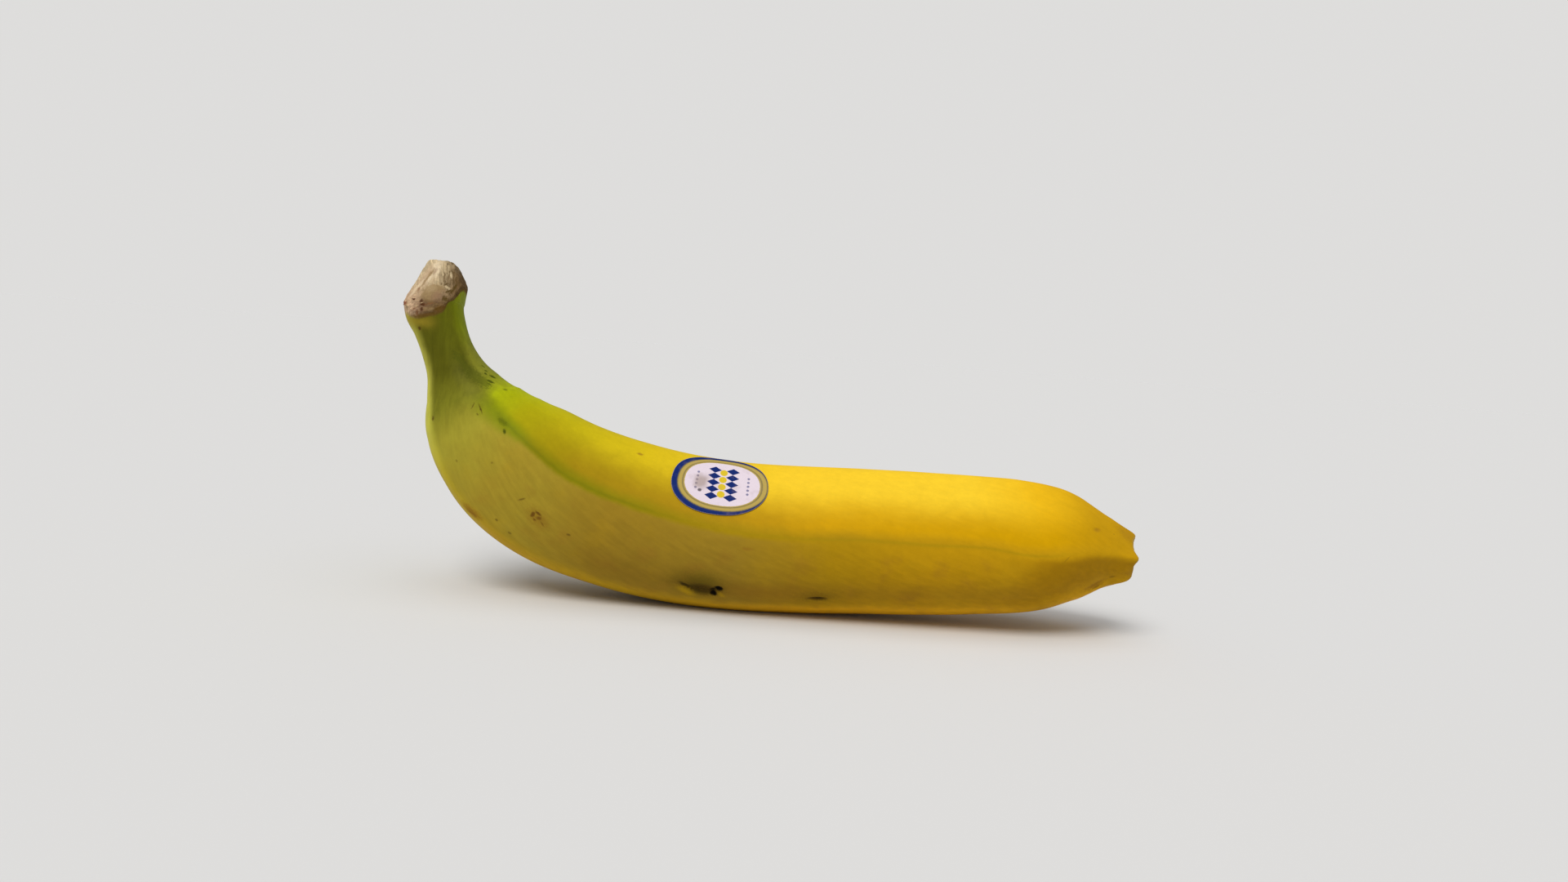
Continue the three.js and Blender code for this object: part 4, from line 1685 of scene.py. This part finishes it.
def ring_map(piece: Piece, rings: int, around: int) -> None:
    """Unrolls a skin of rings into a square map, one column for each vertex of a ring.

    Args:
        piece: the object that new_mesh made with ring_faces.
        rings: how many rings there are.
        around: how many vertices a ring has.
    """
    corners = np.empty(len(piece.data.loops), dtype=int)
    piece.data.loops.foreach_get("vertex_index", corners)
    row = np.clip((corners - 1) // around, -1, rings) + 1
    column = ((corners - 1) % around).astype(float)
    total = np.empty(len(piece.data.polygons), dtype=int)
    piece.data.polygons.foreach_get("loop_total", total)
    face = np.repeat(np.arange(len(total)), total)
    end = (corners == 0) | (corners == rings * around + 1)
    start = np.full(len(total), np.inf)
    np.minimum.at(start, face[~end], column[~end])
    most = np.full(len(total), -np.inf)
    np.maximum.at(most, face[~end], column[~end])
    wraps = (most - start > 1)[face] & (column == 0)
    column[wraps] = around
    column[end] = np.where(most - start > 1, around - 0.5, start + 0.5)[face][end]
    places = np.stack([column / around, row / (rings + 1)], axis=-1)
    made = piece.data.uv_layers.new(name="OFBake")
    made.uv.foreach_set("vector", places.astype(np.float32).ravel())


def ring_faces(rings: int, around: int) -> list[list[int]]:
    """Lists the faces of a closed skin of rings with a vertex at each end.

    Args:
        rings: how many rings there are.
        around: how many vertices a ring has.

    Returns:
        The faces, pointing outwards where the rings turn left-handed along the run.
    """
    number = 1 + np.arange(rings * around).reshape(rings, around)
    ahead = np.roll(number, -1, axis=1)
    quads = np.stack([number[:-1], number[1:], ahead[1:], ahead[:-1]], axis=-1).reshape(-1, 4)
    first, last = 0, rings * around + 1
    caps = [[first, a, b] for a, b in zip(number[0], ahead[0])]
    caps += [[last, b, a] for a, b in zip(number[-1], ahead[-1])]
    return quads.tolist() + [[int(v) for v in face] for face in caps]


@dataclass(frozen=True)
class Rings:
    """The skin's rings, one row a ring: where each vertex lies in the form."""

    station: Array
    angle: Array
    share: Array  # share of the radius
    in_cut: Array  # the same across the knife cut, and one or more elsewhere
    in_scar: Array  # the same across the blossom scar, and one or more elsewhere
    rim: Array  # the station of the cut's rim, around the stalk

    def closed(self, values: Array, first: float = 0.0, last: float = 0.0) -> Array:
        """Lists the values of all vertices, with the two end vertices before and after."""
        return np.concatenate([[first], values.ravel(), [last]])


@dataclass
class Banana:
    """The fruit's skin, from the cut stalk to the blossom end."""

    form: FruitForm
    around: int = 240  # vertices in a ring
    # Up to which station each band of rings runs, and how many rings it has.
    bands: tuple[tuple[float, int], ...] = ((3.0, 64), (7.0, 64), (17.0, 140), (float(LAST), 92))
    cut_rings: int = 26
    scar_rings: int = 20
    slack: float = 0.9985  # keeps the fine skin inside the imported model's box
    scar_crowding: float = 1.25  # crowds the scar's rings towards its rim
    # The scar: how deep its basin is, how high the dried stub stands in it and how far the rim
    # bulges, in stations. And where each is, in shares of the radius.
    scar_basin: float = 0.26
    scar_stub: float = 0.22
    scar_rim: float = 0.04
    basin_side: Pair = (0.9, 0.32)  # where its side begins, and how wide it is
    stub_reach: float = 0.26
    rim_place: Pair = (0.93, 0.06)  # its middle and its width
    rim_from: float = 0.35  # stations before the tip's rim at which it is rounded over, above
    rim_from_below: float = 0.9
    rim_round: float = 0.09  # share of the radius that the rounding takes, above
    rim_round_below: float = 0.22
    # The lower rounding's share level with the middle, and how fast it falls upwards.
    rim_below: Pair = (0.3, 1.3)
    rim_steep: float = 0.98  # 1 would round the rim to a right angle
    far_in: float = -40.0  # millimetres beside a rim, beyond which nothing is told
    cut_middle: Pair = (-82.65, 81.3)  # the drawing's x and z of the cut's middle
    flap_angle: float = -57.0  # degrees, where a pointed flap of skin stands out of the cut's rim
    flap_long: float = 1.2  # millimetres, as are the next three
    flap_wide: float = 0.65
    tuck: float = 1.1  # how far the skin beside the flap has shrunk
    tuck_reach: float = 2.3

    def scar_depth(self, share: Array) -> Array:
        """Draws the blossom scar.

        Args:
            share: shares of the radius.

        Returns:
            How deep the scar is at each, in stations.
        """
        (edge, side), (middle, width) = self.basin_side, self.rim_place
        basin = self.scar_basin * eased((edge - share) / side)
        stub = self.scar_stub * np.exp(-((share / self.stub_reach) ** 4))
        return basin - stub - self.scar_rim * np.exp(-(((share - middle) / width) ** 2))

    def rounded_rim(self, station: Array, angle: Array) -> Array:
        """Rounds the tip's rim over.

        Args:
            station: station numbers.
            angle: degrees around the section.

        Returns:
            The share of the radius that is left.
        """
        level, slope = self.rim_below
        below = np.clip(level - slope * np.sin(np.radians(angle)), 0, 1)
        reach = self.rim_from + (self.rim_from_below - self.rim_from) * below
        taken = self.rim_round + (self.rim_round_below - self.rim_round) * below
        t = np.clip((station - LAST + reach) / reach, 0, 1)
        return 1 - taken * (1 - np.sqrt(1 - t * t * self.rim_steep))

    def with_flap(self, points: Array) -> Array:
        """Draws a small pointed flap out of the cut's rim, and shrinks the skin beside it.

        Args:
            points: the skin's points as drawn, in millimetres.

        Returns:
            The points, moved.
        """
        angle, one = np.array([self.flap_angle]), np.ones(1)
        corner = self.form.point(self.form.cut_station(angle, one), angle, one)
        away = np.linalg.norm(points - corner, axis=1)
        moved = self.tuck * np.exp(-((away / self.tuck_reach) ** 2))
        spike = np.clip(1 - np.abs(points[:, 2] - corner[:, 2]) / self.flap_wide, 0, 1)
        moved = moved - self.flap_long * spike * np.exp(-((away / self.flap_wide / 2) ** 4))
        return points + moved[:, None] * np.array([1.0, 0.0, 0.0])

    def rings(self) -> Rings:
        """Lays out the skin's rings.

        Returns:
            The rings, from the middle of the cut to the middle of the scar.
        """
        angle = -180 + 360 * np.arange(self.around) / self.around
        rim = self.form.cut_station(angle, np.ones_like(angle))
        full = np.ones_like(angle)
        rows = []
        for share in np.linspace(0, 1, self.cut_rings + 1)[1:-1]:
            rows.append((self.form.cut_station(angle, full * share), full * share, full * share, full))
        start = rim
        for end, count in self.bands:
            for t in np.arange(count) / count:
                station = start + (end - start) * t
                rows.append((station, self.rounded_rim(station, angle), full, full))
            start = full * end
        edge = self.rounded_rim(full * LAST, angle)
        for share in 1 - np.linspace(0, 1, self.scar_rings + 1)[:-1] ** self.scar_crowding:
            depth = self.scar_depth(full * share) * (share < 1)
            rows.append((LAST - depth, edge * share, full, full * share))
        station, share, in_cut, in_scar = (np.stack(column) for column in zip(*rows))
        return Rings(station, np.broadcast_to(angle, station.shape), share, in_cut, in_scar, rim)

    def build(self) -> Piece:
        """Builds the skin as a closed mesh that carries its own coordinates.

        Returns:
            The object, at the origin.
        """
        form, rings = self.form, self.rings()
        cut_middle = form.cut_station(np.zeros(1), np.zeros(1))[0]
        station = rings.closed(rings.station, cut_middle, LAST - self.scar_depth(np.zeros(1))[0])
        angle, share = rings.closed(rings.angle), rings.closed(rings.share)
        drawn = self.with_flap(form.point(station, angle, share * self.slack))
        points = form.rested(drawn)
        points[:, 2] = np.maximum(points[:, 2], 0)
        banana = new_mesh("banana_skin", points * MM, ring_faces(*rings.station.shape))
        ring_map(banana, *rings.station.shape)

        across, up = form.section(station, angle, share)
        arc = form.arc(station)
        size = (form.measure("wide", station) + form.measure("high", station)) / 2
        front, degree = on_front(angle), np.radians(1) * size
        rim_arc = rings.closed(np.broadcast_to(form.arc(rings.rim), rings.station.shape))
        in_cut, in_scar = rings.closed(rings.in_cut, 0, 1), rings.closed(rings.in_scar, 1, 0)
        cut = np.where(in_cut < 1, (1 - in_cut) * size, np.maximum(rim_arc - arc, self.far_in))
        past_tip = np.maximum(arc - form.arc(LAST), self.far_in)
        scar = np.where(in_scar < 1, (1 - in_scar) * size, past_tip)
        carry(banana, "flow", np.stack([arc, across, up], axis=-1))
        carry(banana, "side_mm", (front - form.measure("lean", station)) * degree)
        carry(banana, "low_mm", (front - form.low_ridge) * degree)
        carry(banana, "cut_mm", cut)
        x, z = self.cut_middle
        carry(banana, "cut_place", drawn - np.array([x, 0.0, z]))
        carry(banana, "scar_mm", scar)
        return banana

    @staticmethod
    def relief_tree() -> Group:
        """Builds the tree that gives the smooth skin its relief.

        Returns:
            The tree, with its depths in millimetres as inputs.
        """
        depths = "Undulation Ripple Fibre Lump Wrinkle Dent"
        ins = {Kind.GEOMETRY: "Geometry", Kind.NUMBER: depths + " Seed", Kind.MATERIAL: "Material"}
        group = Group(GeometryBoard, "peel_relief", ins, {Kind.GEOMETRY: "Geometry"})
        board = group.board
        undulating, rippled, fibrous, lumpy, wrinkled, dented, seed = group.take(depths + " Seed")
        raw = board.vector("flow")
        flow = board.vectors("ADD", raw, board.join(seed, 0.0, 0.0))
        cut, scar = board.number("cut_mm"), board.number("scar_mm")
        on_cut, on_scar = board.smooth(cut, -0.4, 0.3), board.smooth(scar, -0.3, 0.4)
        on_peel = 1.0 - board.math("MAXIMUM", on_cut, on_scar)

        undulation = board.noise(flow, size=24.0, detail=1.0) - 0.55
        ripple = board.noise(board.drawn_out(flow, long=22.0, wide=2.4), 1.0) - 0.55
        body = undulation * undulating + ripple * rippled
        wrinkles = board.noise(board.drawn_out(flow, long=9.0, wide=1.1), 1.0) - 0.5
        drying = board.bell(cut + 1.0, width=3.0) + board.bell(scar + 1.5, width=4.0) * 0.5
        body = body + wrinkles * drying * wrinkled

        x, y, z = board.split(board.vector("cut_place"))
        leaning = board.join(x + z * CutStalkFinish.slant, y, z)
        fibres = board.noise(board.drawn_out(leaning, long=0.7, wide=3.0), 1.0) - 0.5
        rough = fibres * fibrous + board.waver(flow, size=3.2) * lumpy
        scar_rough = board.noise(flow, size=1.1, detail=3.0, rough=0.65) - 0.6

        dents: Value = 0.0
        for mark in MARKS:
            if mark.dent:
                ways = [(mark.arc, 0.0, 0.0), *mark.ways()]
                dents = board.math("ADD", dents, mark_mask(board, raw, ways, 0.6, 0.0) * mark.dent)
        height = body * on_peel + rough * on_cut + scar_rough * on_scar * lumpy
        height = height - board.math("MULTIPLY", dents, dented)

        _, _, above_floor = board.split(board.read("GeometryNodeInputPosition", {}))
        height = height * board.smooth(above_floor, 0.0, 1.0 * MM) * MM
        offset = board.scaled(board.read("GeometryNodeInputNormal", {}), height)
        moves = {"Geometry": group.take("Geometry")[0], "Offset": offset}
        finish_tree(group, board.read("GeometryNodeSetPosition", moves))
        return group

    def dress(self, banana: Piece, effects: Effects) -> None:
        """Gives the skin its relief and its finish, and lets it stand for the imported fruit.

        Args:
            banana: the object that build made.
            effects: the shared shader groups.
        """
        values = {
            "Undulation": 0.5, "Ripple": 0.12, "Fibre": 0.35, "Lump": 1.2, "Wrinkle": 0.35, "Dent": 1.0,
            "Seed": 11.0, "Material": SkinFinish().material(effects),
        }
        run_tree(banana, self.relief_tree(), values)
        keep_inside(banana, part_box("banana"))
        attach(banana, "root")
        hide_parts("banana")


def finish_tree(group: Group, geometry: Wire) -> None:
    """Ends a tree: makes its geometry real, sets its material and sends it out."""
    real = group.board.read("GeometryNodeRealizeInstances", {"Geometry": geometry})
    painting = {"Geometry": real, "Material": group.take("Material")[0]}
    group.give("Geometry", group.board.read("GeometryNodeSetMaterial", painting))


@dataclass
class Sticker:
    """The oval paper sticker on the upper front face."""

    form: FruitForm
    station: float = 12.66
    angle: float = 55.0  # degrees around the fruit
    long: float = 12.85  # half its length along the fruit, millimetres
    across: float = 9.0  # half its width around it
    gap: float = 0.12  # the glue between it and the peel
    thick: float = 0.14
    around: int = 160  # vertices in a ring
    rings: int = 28  # rings on each of its two faces

    def build(self) -> Piece:
        """Builds the paper as a thin closed disc near its place on the fruit.

        Returns:
            The object, which carries the place of each vertex in the print and its level.
        """
        form, one = self.form, np.ones(1)
        place, turn = np.array([self.station]), np.array([self.angle])
        step = form.short_way
        per_station = np.linalg.norm(form.middle(place + step) - form.middle(place)) / step
        around = form.point(place, turn + 1, one) - form.point(place, turn, one)
        per_degree = np.linalg.norm(around)

        angle = 2 * np.pi * np.arange(self.around) / self.around
        out = np.arange(1, self.rings + 1) / self.rings
        share = np.concatenate([out, out[::-1]])[:, None]
        high = np.repeat([1.0, 0.0], self.rings)[:, None] + 0 * angle
        wave = np.stack([np.cos(angle), np.sin(angle)])
        along, aside = np.sign(wave) * np.abs(wave) ** (2 / STICKER_FULLNESS)
        x = np.concatenate([[0], (along * share * self.long).ravel(), [0]])
        y = np.concatenate([[0], (aside * share * self.across).ravel(), [0]])
        level = np.concatenate([[1], high.ravel(), [0]])
        points = form.rested(
            form.point(self.station + x / per_station, self.angle + y / per_degree, np.ones_like(x))
        )
        sticker = new_mesh("sticker_paper", points * MM, ring_faces(len(share), self.around))
        carry(sticker, "print_mm", np.stack([x, y, 0 * x], axis=-1))
        carry(sticker, "level", level)
        return sticker

    @staticmethod
    def laying_tree() -> Group:
        """Builds the tree that lays the paper on the peel.

        Returns:
            The tree, with the peel, the glue's gap and the paper's thickness as inputs.
        """
        ins = {
            Kind.GEOMETRY: "Geometry", Kind.OBJECT: "Peel", Kind.NUMBER: "Gap Thickness",
            Kind.MATERIAL: "Material",
        }
        group = Group(GeometryBoard, "sticker_laying", ins, {Kind.GEOMETRY: "Geometry"})
        board = group.board
        paper, source, gap, thickness = group.take("Geometry Peel Gap Thickness")
        peel = board.read("GeometryNodeObjectInfo", {"Object": source}, "Geometry")
        on_peel = board.read("GeometryNodeProximity", {0: peel}, "Position", target_element="FACES")
        normals = {0: peel, "Value": board.read("GeometryNodeInputNormal", {})}
        kind = "GeometryNodeSampleNearestSurface"
        outward = board.vectors("NORMALIZE", board.read(kind, normals, "Value", data_type="FLOAT_VECTOR"))
        lifted = board.scaled(outward, (gap + board.number("level") * thickness) * MM)
        moves = {"Geometry": paper, "Position": board.vectors("ADD", on_peel, lifted)}
        finish_tree(group, board.read("GeometryNodeSetPosition", moves))
        return group

    def dress(self, sticker: Piece, banana: Piece, effects: Effects) -> None:
        """Lays the paper on the peel, prints it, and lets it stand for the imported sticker.

        Args:
            sticker: the object that build made.
            banana: the finished skin.
            effects: the shared shader groups.
        """
        finish = PaperFinish().material(effects, (self.long, self.across))
        values = {"Peel": banana, "Gap": self.gap, "Thickness": self.thick, "Material": finish}
        run_tree(sticker, self.laying_tree(), values)
        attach(sticker, "root")
        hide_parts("sticker")


# ---- Studio ----


@dataclass(frozen=True)
class Lamp:
    """A soft light far away, so that it lights the floor evenly."""

    name: str
    azimuth: float  # degrees round from the front (-Y) towards +X
    height: float  # degrees above the floor
    strength: float
    width: float  # degrees that it spans, for soft shadows
    colour: Triple = (1.0, 1.0, 1.0)

    def place(self) -> None:
        """Hangs the light."""
        lamp = bpy.data.lights.new(self.name, "SUN")
        lamp.energy, lamp.angle, lamp.color = self.strength, math.radians(self.width), self.colour
        made = bpy.data.objects.new(self.name, lamp)
        a, h = math.radians(self.azimuth), math.radians(self.height)
        away = Vector((math.sin(a) * math.cos(h), -math.cos(a) * math.cos(h), math.sin(h)))
        made.rotation_euler = away.to_track_quat("Z", "Y").to_euler()
        bpy.context.scene.collection.objects.link(made)

    def on_floor(self) -> Array:
        """Gives how brightly a white floor shines under the light."""
        return np.array(self.colour) * self.strength * math.sin(math.radians(self.height)) / math.pi


@dataclass
class Studio:
    """A pale floor, soft light and the camera."""

    form: FruitForm
    floor_radius: float = 12.0  # metres
    floor_shade: float = 0.75
    sky: float = 0.3
    lamps: tuple[Lamp, ...] = (
        Lamp("key_softbox", -28, 54, 1.7, 34, (1.0, 0.98, 0.95)),
        Lamp("overhead_softbox", 10, 84, 0.75, 60),
    )
    target: Triple = (3.38, 0.0, 43.67)  # in the drawing, millimetres
    distance: float = 267.3  # millimetres, as are the lens and the sensor
    elevation: float = 5.0  # degrees above the drawing's level
    lens: float = 24.44
    sensor: float = 36.0
    clip: Pair = (0.01, 100.0)  # metres from the camera

    def floor(self) -> None:
        """Lays the floor, so wide that its edge lies near the horizon."""
        corners = 64
        turn = 2 * np.pi * np.arange(corners) / corners
        points = np.stack([np.cos(turn), np.sin(turn), 0 * turn], axis=-1) * self.floor_radius
        floor = new_mesh("studio_floor", points, [list(range(corners))])
        paint = bpy.data.materials.new("pale_floor")
        paint.use_nodes = True
        shader = paint.node_tree.nodes["Principled BSDF"]
        shader.inputs["Base Color"].default_value = (self.floor_shade,) * 3 + (1.0,)
        shader.inputs["Roughness"].default_value = 1.0
        shader.inputs["Specular IOR Level"].default_value = 0.0
        floor.data.materials.append(paint)

    def light(self) -> None:
        """Hangs the lights, and sets the sky, whose seen colour is the lit floor's."""
        for lamp in self.lamps:
            lamp.place()
        world = bpy.data.worlds.new("studio")
        world.use_nodes = True
        bpy.context.scene.world = world
        nodes, links = world.node_tree.nodes, world.node_tree.links
        glow = nodes["Background"]
        glow.inputs["Color"].default_value = (self.sky,) * 3 + (1.0,)
        seen = nodes.new("ShaderNodeBackground")
        lit = self.floor_shade * (self.sky + sum(lamp.on_floor() for lamp in self.lamps))
        seen.inputs["Color"].default_value = (*lit, 1.0)
        path, either = nodes.new("ShaderNodeLightPath"), nodes.new("ShaderNodeMixShader")
        links.new(path.outputs["Is Camera Ray"], either.inputs[0])
        links.new(glow.outputs[0], either.inputs[1])
        links.new(seen.outputs[0], either.inputs[2])
        links.new(either.outputs[0], nodes["World Output"].inputs["Surface"])
        bpy.context.scene.view_settings.view_transform = "Standard"

    def camera(self) -> None:
        """Sets the camera: drawn level with the fruit's long underside, then rocked back with it."""
        e = math.radians(self.elevation)
        back = np.array([0.0, -math.cos(e), math.sin(e)])
        right = np.array([1.0, 0.0, 0.0])
        up = np.cross(back, right)
        place = self.form.rested(np.array(self.target) + back * self.distance) * MM
        ways = [self.form.rock_back(way) for way in (right, up, back)]
        lens = bpy.data.cameras.new("camera")
        lens.lens, lens.sensor_width = self.lens, self.sensor
        lens.clip_start, lens.clip_end = self.clip
        made = bpy.data.objects.new("camera", lens)
        rows = np.column_stack([*ways, place])
        made.matrix_world = Matrix([*rows.tolist(), [0, 0, 0, 1]])
        bpy.context.scene.collection.objects.link(made)
        bpy.context.scene.camera = made


def main() -> None:
    """Builds the banana, its sticker and the studio."""
    logging.basicConfig(level=logging.INFO, format="%(name)s: %(message)s")
    form = FruitForm()
    effects = Effects()
    studio = Studio(form)
    studio.camera()
    studio.floor()
    studio.light()
    fruit = Banana(form)
    banana = fruit.build()
    fruit.dress(banana, effects)
    log.info("%s: %d faces", banana.name, len(banana.data.polygons))
    label = Sticker(form)
    sticker = label.build()
    label.dress(sticker, banana, effects)
    log.info("%s: %d faces", sticker.name, len(sticker.data.polygons))


if __name__ == "__main__":
    main()
